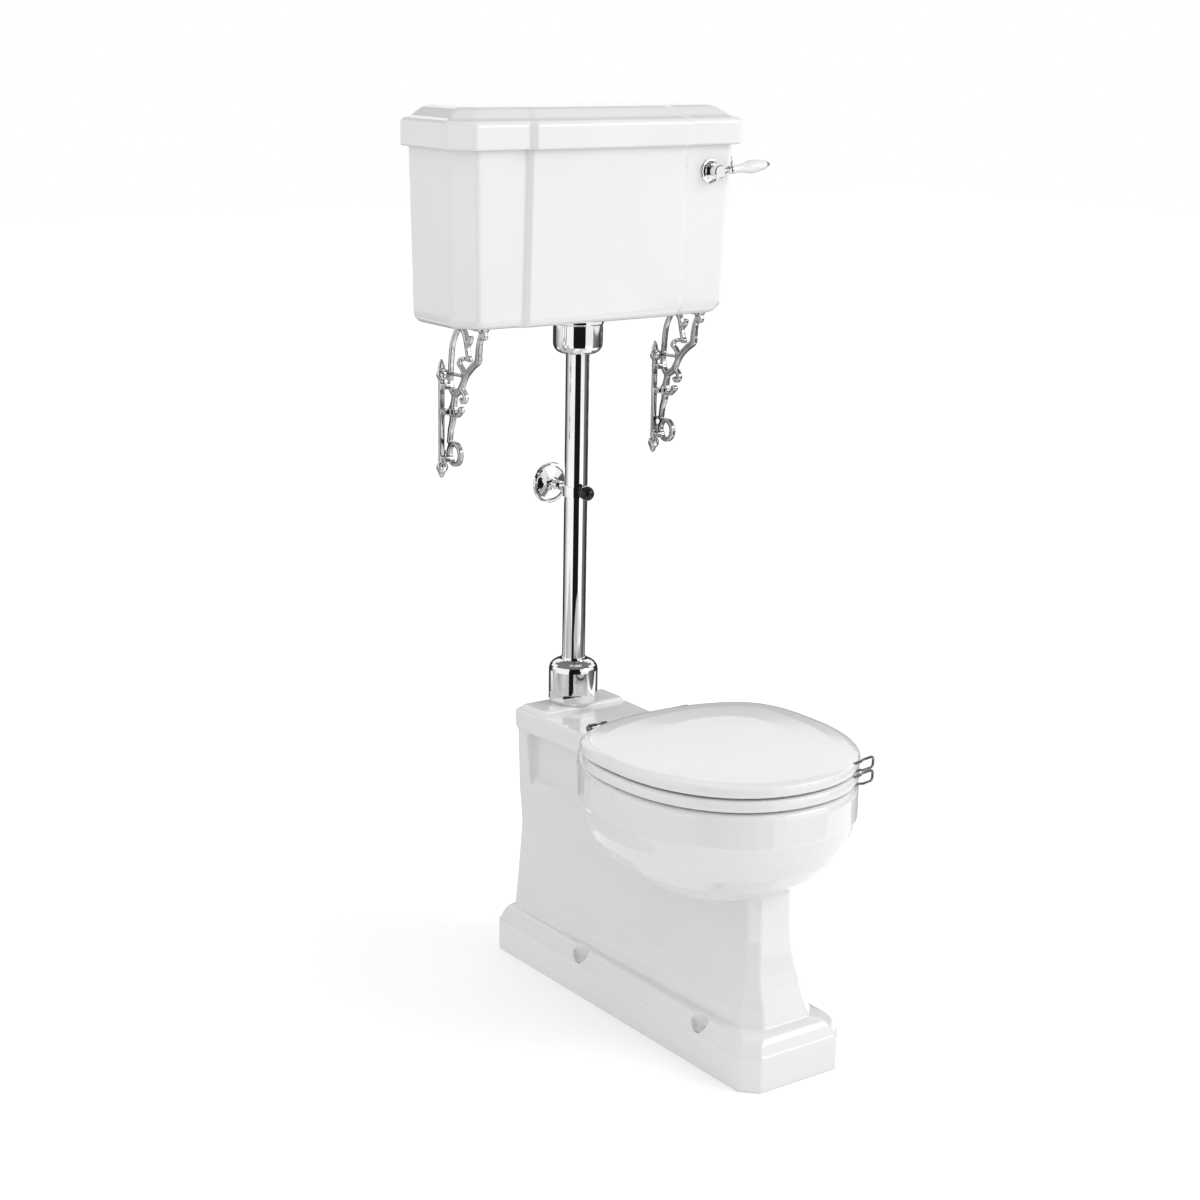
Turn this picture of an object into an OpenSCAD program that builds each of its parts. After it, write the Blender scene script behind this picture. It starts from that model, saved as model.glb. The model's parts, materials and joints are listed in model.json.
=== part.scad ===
// Medium level toilet: ceramic pan, seat and lid, chrome flush pipe, and a cistern on scrolled brackets.
// The wall is the plane y = 0, the floor is z = 0, and the toilet looks toward minus y. Sizes are in mm.

/* [Pan] */
// height of the shelf and of the bowl's rim above the floor
rim_h = 406; // [380:1:430]
// half of the plinth's width
plinth_half = 90; // [84:1:100]
// length of the plinth, from the wall to its front
plinth_long = 627; // [600:1:640]
// height of the plinth's upright side
plinth_h = 51; // [40:1:60]
// size of the chamfers at the plinth's front corners
plinth_cut = 22; // [14:1:28]
// how far the rounded moulding above the plinth steps in
moulding_in = 19; // [16:1:19]
// height of that moulding
moulding_h = 24; // [18:1:30]
// half of the body's width at its foot, above the moulding
foot_half = 71; // [69:1:71]
// half of the body's width at its waist
waist_half = 68; // [66:1:70]
// height of the waist
waist_z = 215; // [200:1:230]
// half of the body's width at the shoulder under the side recess
shoulder_half = 72; // [70:1:76]
// height of the shoulder
shoulder_z = 285; // [275:1:290]
// half of the shelf's width
shelf_half = 85; // [83:1:88]
// height of the shelf's lip
lip_h = 35; // [30:1:40]
// radius along the top edge of the lip
lip_round = 6; // [4:1:9]
// distance from the wall to the back of the shelf
shelf_back = 33; // [30:1:36]
// distance from the wall to the body's back, at the waist
waist_back = 28; // [26:1:34]
// distance from the wall to the body's back, at the foot
foot_back = 15; // [15:1:20]
// radius of the body's upright back corners
back_round = 8; // [6:1:12]
// half of the front column's width
column_half = 39; // [37:0.5:42]
// half of the column's width at its foot
column_foot_half = 63.5; // [60:0.5:66]
// distance from the wall to the front of the column
column_front = 566; // [562:1:570]
// distance from the wall to the column's front at its foot
column_foot = 599; // [595:1:605]
// size of the chamfer strips on the column
column_cut = 13.5; // [11:0.5:16]
// half of the distance between the side recesses
recess_half = 60; // [58:1:62]
// height at which the side recesses begin
recess_z = 300; // [295:1:310]
// distance from the bowl's centre back to the front of the side recesses
recess_start = 110; // [100:1:120]
// thickness of the rib behind each side recess
rib = 26; // [22:1:34]
// thickness of the pan's ceramic
pan_wall = 11; // [9:1:12]
// height of the raised step under the flush pipe
platform_h = 6; // [4:1:8]
// half of that step's width
platform_half = 77; // [74:1:78]
// distance from the wall to the step's front edge
platform_front = 99; // [96:1:110]

/* [Bowl] */
// half of the bowl's width at the rim
bowl_half = 182; // [176:1:188]
// distance from the bowl's centre to its front
bowl_front = 213; // [206:1:218]
// distance from the bowl's centre to its back
bowl_back = 220; // [214:1:224]
// distance from the wall to the bowl's centre
bowl_y = 425; // [421:1:429]
// depth of the bowl's outside below its widest level
bowl_deep = 150; // [145:1:155]
// height of the box rim above the crease
rim_band = 52; // [46:1:56]
// how far the box rim stands proud of the bowl
band_proud = 1.5; // [1:0.5:3]
// radius of the rim's upper edge
rim_round = 8; // [5:1:10]
// half of the opening's width at the rim
well_half = 132; // [126:1:136]
// distance from the bowl's centre to the front of the opening
well_front = 166; // [160:1:170]
// distance from the bowl's centre to the back of the opening
well_back = 153; // [147:1:156]
// thickness of the lip that hangs inside the flushing rim
skirt_t = 10; // [8:1:12]
// depth of that lip below the rim
skirt_deep = 46; // [40:1:48]
// distance from the wall to the sump
sump_y = 400; // [398:1:404]
// radius of the sump
sump_r = 36; // [35:0.5:38]

/* [Trap] */
// radius of the water way through the trap
trap_r = 33; // [31:0.5:34]
// thickness of the trap's wall
trap_wall = 9; // [8:0.5:9]
// radius of the lower bend
lower_bend = 50; // [49:0.5:50]
// height of the lower bend's centre
lower_bend_z = 200; // [198:1:204]
// radius of the upper bend, over the weir
upper_bend = 44; // [44:0.5:45]
// height of the upper bend's centre
upper_bend_z = 232; // [230:1:234]
// radius of the last bend, toward the wall
last_bend = 52; // [50:1:54]
// outside radius of the outlet spigot
spigot_r = 51; // [50:0.5:52]
// bore radius of the outlet spigot
spigot_bore = 42; // [40:0.5:43]
// distance from the wall to the end of the spigot
spigot_back = 22; // [20:1:23]
// length of the spigot
spigot_long = 77; // [70:1:82]

/* [Floor and seat fixings] */
// distance from the centre line to the floor screws
floor_screw_x = 82.5; // [81:0.5:83]
// distance from the wall to the two back floor screws
floor_screw_back = 215; // [185:5:245]
// distance from the wall to the two front floor screws
floor_screw_front = 505; // [475:5:525]
// radius of the floor screw holes
floor_screw_r = 4.5; // [3.5:0.25:5]
// radius of the sockets over the floor screw holes
floor_socket_r = 7; // [6:0.5:7]
// height of the sockets' bottom
floor_socket_z = 50; // [46:1:51]
// radius of the bosses around the floor screw holes
floor_boss_r = 15; // [13:0.5:16]
// half of the distance between the seat's hinge studs
hinge_x = 75; // [74:0.5:76]
// distance from the wall to the hinge axis
hinge_y = 240; // [238:0.5:242]
// radius of the stud holes for the hinges
stud_hole_r = 6; // [5.5:0.25:6.5]
// depth of those holes
stud_hole_deep = 26; // [22:1:28]
// radius of the bosses around them, inside the rim
stud_boss_r = 12; // [11:0.5:13]

/* [Flush inlet] */
// distance from the wall to the flush pipe's axis
pipe_y = 70; // [68:0.5:72]
// radius of the inlet in the shelf
inlet_r = 25; // [24:0.5:26]
// radius of the channel from the inlet to the rim
duct_r = 20; // [18:0.5:21]
// thickness of the channel's wall
duct_wall = 8; // [7:0.5:9]

/* [Seat and lid] */
// how far seat and lid stand out over the bowl's sides
seat_proud = 1; // [0:0.5:3]
// distance from the bowl's centre to the seat's back
seat_back = 162; // [156:1:168]
// thickness of the seat and of the lid's edge
seat_t = 17; // [15:1:19]
// gap between rim and seat, and between seat and lid
seat_gap = 3; // [2.5:0.25:4]
// half of the width of the seat's opening
hole_half = 112; // [100:1:116]
// distance from the opening's centre to its front and back
hole_long = 130; // [120:1:134]
// how far the centre of the seat's opening lies ahead of the bowl's
hole_ahead = 17; // [12:1:22]
// radius of the rounding along the edges
edge_round = 5; // [3:0.5:6]
// rise of the lid's domed top
lid_dome = 6; // [3:0.5:9]
// radius of the rubber buffers
buffer_r = 8; // [6:0.5:9]
// distance from the centre line to the buffers
buffer_x = 146; // [140:1:150]
// distance from the bowl's centre to the buffers, along the seat
buffer_y = 82; // [70:1:95]
// how deep a buffer's stem sits in its board
buffer_stem = 6; // [4:0.5:8]
// clearance between parts that rest beside each other
rest_gap = 0.3; // [0.25:0.05:0.5]
// clearance between parts pushed into each other
push_gap = 0.05; // [0.03:0.01:0.08]

/* [Hinges] */
// radius of the round feet of the hinge posts
hinge_foot_r = 11.5; // [10:0.5:12]
// thickness of those feet
hinge_foot_t = 3; // [2:0.5:4]
// radius of the hinge posts' necks
hinge_neck_r = 4; // [3:0.25:4]
// radius of the barrels
barrel_r = 6.5; // [6:0.25:7]
// width of the eye on each post
eye_w = 8; // [7:0.5:9]
// width of the arms on seat and lid
arm_w = 10.7; // [9:0.1:12]
// radius of the hinge pins
pin_r = 3; // [2.5:0.25:3.5]
// running clearance around pins
run_gap = 0.05; // [0.03:0.01:0.08]
// thickness of the arms
arm_t = 3; // [2:0.25:4]
// length of the arms from the hinge axis
arm_long = 60; // [54:1:66]
// radius of the hinge studs
stud_r = 4; // [3:0.25:4.5]
// length of the sleeves that hold the studs
sleeve_long = 20; // [16:1:21]

/* [Handles] */
// radius of the wire of the loop handles
wire_r = 2; // [1.5:0.1:2.2]
// distance between the two legs of a loop, in the board
loop_h = 12; // [10:0.5:12.5]
// distance between the two legs outside the board
loop_wide = 15.5; // [13:0.5:15.5]
// reach of a loop beyond the edge of its board
loop_out = 34; // [30:1:38]
// depth of the legs in the board
loop_in = 20; // [12:1:24]
// how far the handles lie ahead of the bowl's centre
handle_ahead = 181; // [172:1:184]
// angle by which the loops turn toward the wall
handle_turn = 10; // [0:1:16]

/* [Flush pipe] */
// outside radius of the flush pipe
pipe_r = 17.5; // [16:0.25:19]
// thickness of the pipe's wall
pipe_wall = 1.5; // [1:0.25:2.5]
// how far the pipe reaches into the pan below the step
pipe_dip = 20; // [12:1:28]
// outside radius of the bell and its nut
bell_r = 37.5; // [36:0.5:39]
// height of the nut under the bell
bell_nut_h = 17; // [14:1:20]
// distance from the axis to the nut's flats
bell_flat = 36.4; // [35.5:0.1:37.2]
// height of the bell
bell_h = 54; // [48:1:60]
// radius of the bell's shoulder
bell_shoulder = 17; // [12:1:18]
// outside radius of the cup nut under the cistern
cup_r = 37; // [35:0.5:38]
// height of the cup nut
cup_h = 44; // [40:1:50]
// radius of the rounding at the bottom of the cup nut
cup_round = 15; // [10:1:17]
// radius of the back nut against the cistern
flange_r = 39; // [37:0.5:41]
// thickness of that back nut
flange_t = 8; // [6:0.5:10]

/* [Pipe clip] */
// height of the pipe clip
clip_z = 742; // [640:1:850]
// radius of the clip's wall plate
clip_plate_r = 31.5; // [28:0.5:34]
// thickness of the wall plate's rim
clip_plate_t = 8; // [6:0.5:10]
// radius of the arm that holds the clip
clip_arm_r = 7; // [5:0.5:8]
// height of the clip's band
clip_band_h = 15; // [12:0.5:18]
// thickness of the clip's band
clip_band_t = 3; // [2.5:0.25:4]
// radius of the ball in front
ball_r = 11; // [9:0.5:12.5]

/* [Cistern] */
// height of the cistern's underside
tank_z = 1002; // [950:1:1050]
// height of the cistern's body, up to the rim under the lid
tank_h = 260; // [250:1:280]
// half of the body's width at the bottom
tank_half_low = 241.5; // [236:0.5:245]
// half of the body's width at the top
tank_half_high = 250; // [246:0.5:254]
// depth of the body at the bottom
tank_deep_low = 140; // [139:1:146]
// depth of the body at the top
tank_deep_high = 148; // [146:1:152]
// size of the chamfers at the front corners
tank_cut = 29; // [24:1:32]
// how far the middle of the front stands proud
panel_proud = 8; // [5:0.5:10]
// half of the width of that panel
panel_half = 134; // [128:1:140]
// width of the slope beside the panel
panel_slope = 7; // [5:0.5:10]
// radius around the bottom edge
tank_round = 16; // [10:1:18]
// thickness of the cistern's walls and floor
tank_wall = 12; // [10:0.5:13]
// distance from the centre line to the cistern's wall screws
wall_screw_x = 190; // [170:5:200]
// height of those screws above the cistern's underside
wall_screw_h = 205; // [190:1:215]
// radius of the wall screw holes
wall_screw_r = 4; // [3:0.25:4.5]

/* [Cistern lid] */
// half of the lid's width
cover_half = 263; // [260:1:268]
// depth of the lid
cover_deep = 160; // [159:1:166]
// how far the lid's skirt hangs below the cistern's rim
cover_hang = 9; // [6:1:12]
// height of the skirt up to its rounded edge
cover_skirt = 40; // [34:1:44]
// radius of that edge
cover_round = 8; // [5:1:10]
// rise from that edge to the flat top
cover_rise = 17; // [12:1:22]
// width of the slope between edge and flat top
cover_slope = 50; // [40:1:60]
// thickness of the lid
cover_t = 11; // [9:0.5:12]
// clearance between lid and cistern
cover_gap = 2; // [1.5:0.25:3]

/* [Flush lever] */
// distance from the centre line to the lever
lever_x = 186; // [182:1:190]
// height of the lever above the cistern's underside
lever_h = 213; // [205:1:218]
// radius of the plate behind the lever
rosette_r = 18; // [16:0.5:19]
// thickness of that plate
rosette_t = 4; // [3:0.5:5]
// radius of the ring on the plate
rosette_ring_r = 13; // [12:0.5:14]
// thickness of that ring
rosette_ring_t = 5; // [4:0.5:7]
// radius of the bush through the wall
bush_r = 9; // [8:0.5:10]
// radius of the spindle
spindle_r = 5; // [4:0.25:6]
// radius of the lever's hub
hub_r = 9.5; // [8.5:0.25:11]
// length of the hub
hub_t = 15; // [12:0.5:18]
// distance from the hub's axis to the ceramic grip
grip_start = 26; // [22:1:32]
// length of the ceramic grip
grip_long = 63; // [50:1:75]
// radius of the grip where it is thickest
grip_r = 10; // [8:0.25:11]
// length of the pointed tip
tip_long = 11; // [8:0.5:14]
// angle by which the lever points up at rest
lever_tilt = 5; // [0:1:8]
// swing of the lever, in degrees
lever_swing = 25; // [20:1:25]

/* [Siphon] */
// distance from the centre line to the lift rod
rod_x = 65; // [64:0.5:66]
// radius of the lift rod
rod_r = 2.5; // [2:0.25:3]
// outside radius of the siphon's chamber
chamber_r = 44; // [42:0.5:45]
// height of the chamber's top above the cistern's floor
chamber_h = 104; // [100:1:108]
// height of the crown above the chamber
crown_h = 17; // [14:1:18]
// outside radius of the down leg
leg_r = 25; // [24:0.5:26]
// outside radius of the threaded tail
tail_r = 22; // [21:0.25:22.5]
// bore radius of the tail
tail_bore = 18.2; // [18:0.1:18.5]
// wall thickness of the siphon
siphon_wall = 3; // [2.5:0.25:3.5]
// travel of the lift rod
lift_travel = 54.8; // [45:0.1:55]

/* [Fill valve] */
// distance from the wall to the fill valve
valve_y = 58; // [56:0.5:60]
// height of the fill valve above the cistern's underside
valve_h = 220; // [216:1:224]
// radius of the valve's body
valve_r = 13; // [11:0.5:14]
// radius of the valve's threaded tail
valve_tail_r = 10.5; // [9:0.25:11]
// distance from the centre line to the end of the tail
valve_end = 285; // [275:1:295]
// thickness of the nut on the tail
valve_nut_t = 8; // [6:0.5:9]
// distance from the centre line to the float arm's pivot
pivot_x = 180; // [176:1:184]
// length of the float arm
float_arm = 290; // [280:1:300]
// radius of the float
float_r = 42; // [36:1:43]
// angle by which the float hangs down
float_down = 18; // [12:1:20]
// outside radius of the fill tube
tube_r = 8; // [7:0.25:8.5]
// height of the fill tube's end above the cistern's floor
tube_low = 26; // [15:1:40]

/* [Brackets] */
// distance from the centre line to each bracket's wall bar
bracket_x = 195; // [185:1:200]
// distance from the bar to the middle of the scrolled plate
plate_off = 10; // [9:0.5:12]
// thickness of the scrolled plate
plate_t = 8; // [6:0.5:9]
// width of the wall bar
bar_w = 9; // [7:0.5:12]
// thickness of the wall bar
bar_t = 5; // [4:0.5:7]
// radius of the screw bosses
boss_r = 8.5; // [8:0.25:10]
// thickness of the screw bosses
boss_t = 8; // [6:0.5:9]
// height from the lower screws to the cistern's underside
bracket_low = 216; // [210:1:220]
// height from the upper screws to the cistern's underside
bracket_high = 78; // [74:1:84]
// radius of the bracket's screw holes
bracket_hole_r = 3; // [2.5:0.25:3.5]
// thickness of the ledge that carries the cistern
ledge_t = 5; // [4:0.5:6]
// distance from the wall to the ledge's back end
ledge_back = 24; // [20:1:30]
// distance from the wall to the ledge's front end
ledge_front = 105; // [95:1:115]

/* [Choice] */
// which piece is drawn

/* [Hidden] */
$fn = 48;
egg_points = 56;
front_power = 2.15;
back_power = 2.45;
arc_steps = 4;
corner_round = 5;
over = 1;

ceramic = [0.95, 0.95, 0.94];
chrome = [0.74, 0.75, 0.77];
rubber = [0.16, 0.16, 0.16];
plastic = [0.88, 0.88, 0.86];
brass = [0.80, 0.63, 0.30];
steel = [0.62, 0.62, 0.63];

platform_top = rim_h + platform_h;
moulding_top = plinth_h + moulding_h;
lip_z = rim_h - lip_h;
slab = pan_wall + 1;
cavity_top = rim_h - slab;
cavity_half = recess_half - pan_wall;
stud_hole_z = rim_h - stud_hole_deep;
bowl_wide_z = rim_h - 36;
void_wall = pan_wall + 2;
void_low = lower_bend_z + 32;
void_high = rim_h - rim_band;
duct_z = rim_h - slab - duct_r + over;

seat_half = bowl_half + seat_proud;
hole_y = bowl_y + hole_ahead;
handle_y = bowl_y + handle_ahead;
seat_low = rim_h + seat_gap;
seat_high = seat_low + seat_t;
lid_low = seat_high + seat_gap;
lid_high = lid_low + seat_t;
hinge_z = seat_high + seat_gap / 2;
eye_half = eye_w / 2;
arm_gap = rest_gap;

bell_nut_z = platform_top;
bell_z = bell_nut_z + bell_nut_h;
bell_top = bell_z + bell_h;
pipe_hole = pipe_r + push_gap;
flange_z = tank_z - flange_t;
cup_z = flange_z - cup_h;
seal_z = cup_z + 16;
tail_z = seal_z + 10;
pipe_top = tail_z + 9;
pipe_low = platform_top - pipe_dip;

tank_floor = tank_z + tank_wall;
tank_rim = tank_z + tank_h;
lever_z = tank_z + lever_h;
valve_z = tank_z + valve_h;
pad_y = -(tank_deep(lever_z) - panel_proud + 0.8);
inner_pad_y = -(tank_deep(lever_z) - panel_proud - tank_wall - 1);
side_pad_x = tank_half(valve_z) + 0.8;
inner_side_x = tank_half(valve_z) - tank_wall - 1;
rosette_front = pad_y - rosette_t - rosette_ring_t;
hub_front = rosette_front - rest_gap - hub_t;
hub_mid = rosette_front - rest_gap - hub_t / 2;
arm_plane = -(pipe_y + 10);
lever_reach = lever_x - rod_x;
cover_low = tank_rim - cover_hang;
cover_edge = cover_low + cover_skirt;
cover_top = cover_edge + cover_rise;

clip_in = pipe_r + push_gap;
clip_out = clip_in + clip_band_t;

screw_high_z = tank_z - bracket_high;
screw_low_z = tank_z - bracket_low;
scroll_size = bracket_low / 216;

function mix(a, b, t) = a + (b - a) * t;
function ease(t) = t <= 0 ? 0 : t >= 1 ? 1 : t * t * (3 - 2 * t);
function unit(v) = v / norm(v);
function flat(p) = [p.x, p.y];
function power(v, e) = sign(v) * pow(abs(v), e);
function middle(ring) = [for (p = ring) 1] * ring / len(ring);
function at(points, z) = [for (p = points) [p.x, p.y, z]];

// the arc that rounds the corner q between its neighbours p and s; q[2] is the radius
function bend(p, q, s, steps) =
    let (a = unit(flat(p) - flat(q)), b = unit(flat(s) - flat(q)))
    let (half = acos(a * b) / 2, c = flat(q) + unit(a + b) * q[2] / sin(half))
    let (u = flat(q) + a * q[2] / tan(half) - c, v = flat(q) + b * q[2] / tan(half) - c)
    let (start = atan2(u.y, u.x), turn = (atan2(v.y, v.x) - start + 540) % 360 - 180)
    [for (k = [0 : steps]) c + q[2] * [cos(start + turn * k / steps), sin(start + turn * k / steps)]];

function rounded(path, steps) =
    let (n = len(path))
    [for (i = [0 : n - 1]) each bend(path[(i + n - 1) % n], path[i], path[(i + 1) % n], steps)];

// an egg shaped outline: half width a, front length f, back length b, centre y
function egg(a, f, b, y) =
    [for (i = [0 : egg_points - 1])
        let (t = 360 * i / egg_points, e = 2 / (sin(t) > 0 ? back_power : front_power))
        [a * power(cos(t), e), y + (sin(t) > 0 ? b : f) * power(sin(t), e)]];

// a ring of points around p, square to the direction dir; side is a direction across it
function hoop(p, dir, side, r, n) =
    [for (i = [0 : n - 1]) p + r * (cos(360 * i / n) * side + sin(360 * i / n) * cross(dir, side))];

// a smooth curve through the given points
function curve(p, steps) =
    let (n = len(p))
    concat(
        [for (i = [0 : n - 2]) for (k = [0 : steps - 1])
            let (t = k / steps, a = p[max(i - 1, 0)], b = p[i], c = p[i + 1], d = p[min(i + 2, n - 1)])
            0.5 * (2 * b + (c - a) * t + (2 * a - 5 * b + 4 * c - d) * t * t + (3 * b - a - 3 * c + d) * t * t * t)],
        [p[n - 1]]);

// a strip along points [x, y, half width]
function strip(p) =
    let (n = len(p), side = [for (i = [0 : n - 1])
        let (d = unit(flat(p[min(i + 1, n - 1)]) - flat(p[max(i - 1, 0)]))) [-d.y, d.x]])
    concat(
        [for (i = [0 : n - 1]) flat(p[i]) + side[i] * p[i][2]],
        [for (i = [n - 1 : -1 : 0]) flat(p[i]) - side[i] * p[i][2]]);

// a solid through rings of points, each seen from above against the clock, from low to high
module loft(rings) {
    n = len(rings[0]);
    m = len(rings);
    points = concat([for (r = rings) each r], [middle(rings[0]), middle(rings[m - 1])]);
    sides = [for (j = [0 : m - 2]) for (i = [0 : n - 1]) let (k = (i + 1) % n)
        each [[j * n + i, j * n + n + i, j * n + n + k], [j * n + i, j * n + n + k, j * n + k]]];
    low = [for (i = [0 : n - 1]) [m * n, i, (i + 1) % n]];
    high = [for (i = [0 : n - 1]) [m * n + 1, m * n - n + (i + 1) % n, m * n - n + i]];
    polyhedron(points, concat(sides, low, high), convexity = 10);
}

// the same with the last ring joined to the first
module loop(rings) {
    n = len(rings[0]);
    m = len(rings);
    sides = [for (j = [0 : m - 1]) for (i = [0 : n - 1]) let (k = (i + 1) % n, h = (j + 1) % m)
        each [[j * n + i, h * n + i, h * n + k], [j * n + i, h * n + k, j * n + k]]];
    polyhedron([for (r = rings) each r], sides, convexity = 10);
}

module up(x, y, z0, z1, r) {
    translate([x, y, z0]) cylinder(h = z1 - z0, r = r);
}

module along_y(x, z, y0, y1, r) {
    translate([x, y1, z]) rotate([90, 0, 0]) cylinder(h = y1 - y0, r = r);
}

module along_x(x0, x1, y, z, r) {
    translate([x0, y, z]) rotate([0, 90, 0]) cylinder(h = x1 - x0, r = r);
}

module block(x0, x1, y0, y1, z0, z1) {
    translate([x0, y0, z0]) cube([x1 - x0, y1 - y0, z1 - z0]);
}

module both() {
    children();
    mirror([1, 0, 0]) children();
}

// outline of the pan's trunk at one height: back corners rounded, front corners chamfered
function trunk(half, back, round_r, front_half, front, cut) =
    rounded([
        [half, -back, round_r], [-half, -back, round_r],
        [-front_half, cut - front, corner_round], [cut - front_half, -front, corner_round],
        [front_half - cut, -front, corner_round], [front_half, cut - front, corner_round]], arc_steps);

function plinth(inset) =
    trunk(plinth_half - inset, 0.75 * inset, 6, plinth_half - inset, plinth_long - inset, plinth_cut);

// the trunk between foot and waist, t = 1 at the foot; grow makes it larger all round
function leg_ring(t, grow) =
    at(trunk(mix(waist_half, foot_half, t * t) + grow, mix(waist_back, foot_back, t) - grow, back_round,
        mix(column_half, column_foot_half, t * t) + grow, mix(column_front, column_foot, t * t) + grow,
        mix(column_cut, plinth_cut, ease((t - 0.55) / 0.35))),
        mix(waist_z, moulding_top, t));

function shoulder_ring(t, grow) =
    at(trunk(mix(waist_half, shoulder_half, ease(t)) + grow, mix(waist_back, waist_back - 2, t) - grow,
        back_round, column_half + grow, mix(column_front, column_front - 4, t) + grow, column_cut),
        mix(waist_z, shoulder_z, t));

// the shelf above the shoulder; its front stays inside the bowl
function shelf_ring(half, back, z) =
    at(trunk(half, back, back_round, half - 10, column_front - 60, column_cut), z);

module trunk_solid() {
    linear_extrude(plinth_h) polygon(plinth(0));
    loft(concat(
        [at(plinth(2), plinth_h - 8)],
        [for (a = [0 : 15 : 90]) at(plinth(1 + (moulding_in - 1) * (1 - cos(a))), plinth_h + moulding_h * sin(a))],
        [for (t = [0.99 : -0.165 : 0]) leg_ring(t, 0)],
        [for (t = [0.2 : 0.2 : 1]) shoulder_ring(t, 0)],
        [for (t = [0.4, 0.8, 1]) shelf_ring(mix(shoulder_half, shelf_half - 5, t), mix(waist_back - 2, shelf_back + 1, t),
            mix(shoulder_z, lip_z, t))],
        [shelf_ring(shelf_half - 1, shelf_back, lip_z + 6)],
        [for (a = [0 : 22.5 : 90]) shelf_ring(shelf_half - lip_round * (1 - cos(a)),
            shelf_back + lip_round * (1 - cos(a)), rim_h - lip_round * (1 - sin(a)))]));
}

module platform() {
    outline = [for (inset = [0, 1, 3]) rounded([
        [platform_half - inset, -shelf_back - lip_round - 3 - inset, 5],
        [-platform_half + inset, -shelf_back - lip_round - 3 - inset, 5],
        [-platform_half + inset, -platform_front + inset, 5],
        [platform_half - inset, -platform_front + inset, 5]], arc_steps)];
    loft([at(outline[0], rim_h - 5), at(outline[0], platform_top - 2.5),
        at(outline[1], platform_top - 0.8), at(outline[2], platform_top)]);
}

module cavity() {
    difference() {
        union() {
            translate([0, 0, -over]) linear_extrude(plinth_h + over) polygon(
                trunk(plinth_half - pan_wall - 3, pan_wall + 3, 6, plinth_half - pan_wall - 3,
                    plinth_long - pan_wall - 3, plinth_cut));
            loft(concat(
                [at(plinth(pan_wall + 6), plinth_h - 2)],
                [for (t = [1 : -0.25 : 0]) leg_ring(t, -pan_wall)],
                [for (t = [0.5, 1]) shoulder_ring(t, -pan_wall)],
                [for (z = [recess_z, cavity_top])
                    at(trunk(cavity_half, waist_back + pan_wall, max(back_round - pan_wall, 1), cavity_half,
                        column_front - 80, column_cut), z)]));
        }
        for (x = [-floor_screw_x, floor_screw_x]) for (y = [floor_screw_back, floor_screw_front])
            up(x, -y, -2 * over, moulding_top + 8, floor_boss_r);
    }
}

// one side recess under the shelf's lip
module recess() {
    deep = 60;
    top_z = lip_z;
    intersection() {
        translate([recess_half, 0, 0]) rotate([90, 0, 90]) linear_extrude(deep) polygon(rounded([
            [-shelf_back - rib, recess_z - 20, 10], [-shelf_back - rib, top_z, 12],
            [-bowl_y + recess_start, top_z, 6], [-bowl_y + recess_start, recess_z - 20, 6]], 5));
        translate([0, -shelf_back, 0]) rotate([90, 0, 0]) linear_extrude(bowl_y) polygon(rounded([
            [recess_half, recess_z, 6], [recess_half + 8, recess_z - 14, 6], [recess_half + deep, recess_z - 22, 2],
            [recess_half + deep, top_z + 5, 2], [shelf_half - 3, top_z + 4, 3], [shelf_half - 10, top_z, 3],
            [recess_half, top_z, 6]], 4));
    }
}

function bowl_size(s, proud) =
    egg(bowl_half * s - band_proud + proud, bowl_front * s - band_proud + proud, bowl_back * s - band_proud + proud, -bowl_y);

module bowl_solid() {
    loft(concat(
        [for (a = [12, 20, 30, 41, 52, 63, 73, 81]) at(bowl_size(sin(a), 0), bowl_wide_z - bowl_deep * cos(a))],
        [at(bowl_size(1, 0), void_high - 1.5), at(bowl_size(1, band_proud), void_high + 1.5)],
        [for (a = [0 : 22.5 : 90]) at(bowl_size(1, band_proud - rim_round * (1 - cos(a))),
            rim_h - rim_round * (1 - sin(a)))]));
}

// the inside of the bowl, t = 0 at the sump and t = 1 under the flushing rim
function void_ring(t) =
    let (f = pow(t, 0.45), y = mix(-sump_y, -bowl_y, f))
    let (back = mix(-sump_y + sump_r, -bowl_y + bowl_back - void_wall, t * t))
    at(egg(mix(sump_r, bowl_half - void_wall, f), mix(sump_r, bowl_front - void_wall, f), back - y, y),
        mix(void_low, void_high, t));

module bowl_void() {
    inner = egg(bowl_half - void_wall, bowl_front - void_wall, bowl_back - void_wall, -bowl_y);
    loft(concat([for (t = [0, 0.03, 0.08, 0.16, 0.28, 0.44, 0.62, 0.8, 1]) void_ring(t)],
        [at(inner, cavity_top - 8), at(0.97 * inner - 0.03 * [for (p = inner) [0, bowl_y]], cavity_top)]));
}

function trap_path() =
    let (ya = -sump_y + lower_bend, yb = -sump_y + 2 * lower_bend + upper_bend)
    let (yc = yb + upper_bend + last_bend)
    concat(
        [[[0, -sump_y, void_low + 8], [0, 0, -1]]],
        [for (a = [180 : 22.5 : 360])
            [[0, ya + lower_bend * cos(a), lower_bend_z + lower_bend * sin(a)], [0, -sin(a), cos(a)]]],
        [for (a = [180 : -22.5 : 0])
            [[0, yb + upper_bend * cos(a), upper_bend_z + upper_bend * sin(a)], [0, sin(a), -cos(a)]]],
        [for (a = [202.5 : 22.5 : 270])
            [[0, yc + last_bend * cos(a), upper_bend_z + last_bend * sin(a)], [0, -sin(a), cos(a)]]],
        [[[0, -spigot_back - spigot_long + 13, upper_bend_z - last_bend], [0, 1, 0]]]);

outlet_z = upper_bend_z - last_bend;

module trap(r) {
    loft([for (s = trap_path()) hoop(s[0], s[1], [1, 0, 0], r, 20)]);
}

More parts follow.
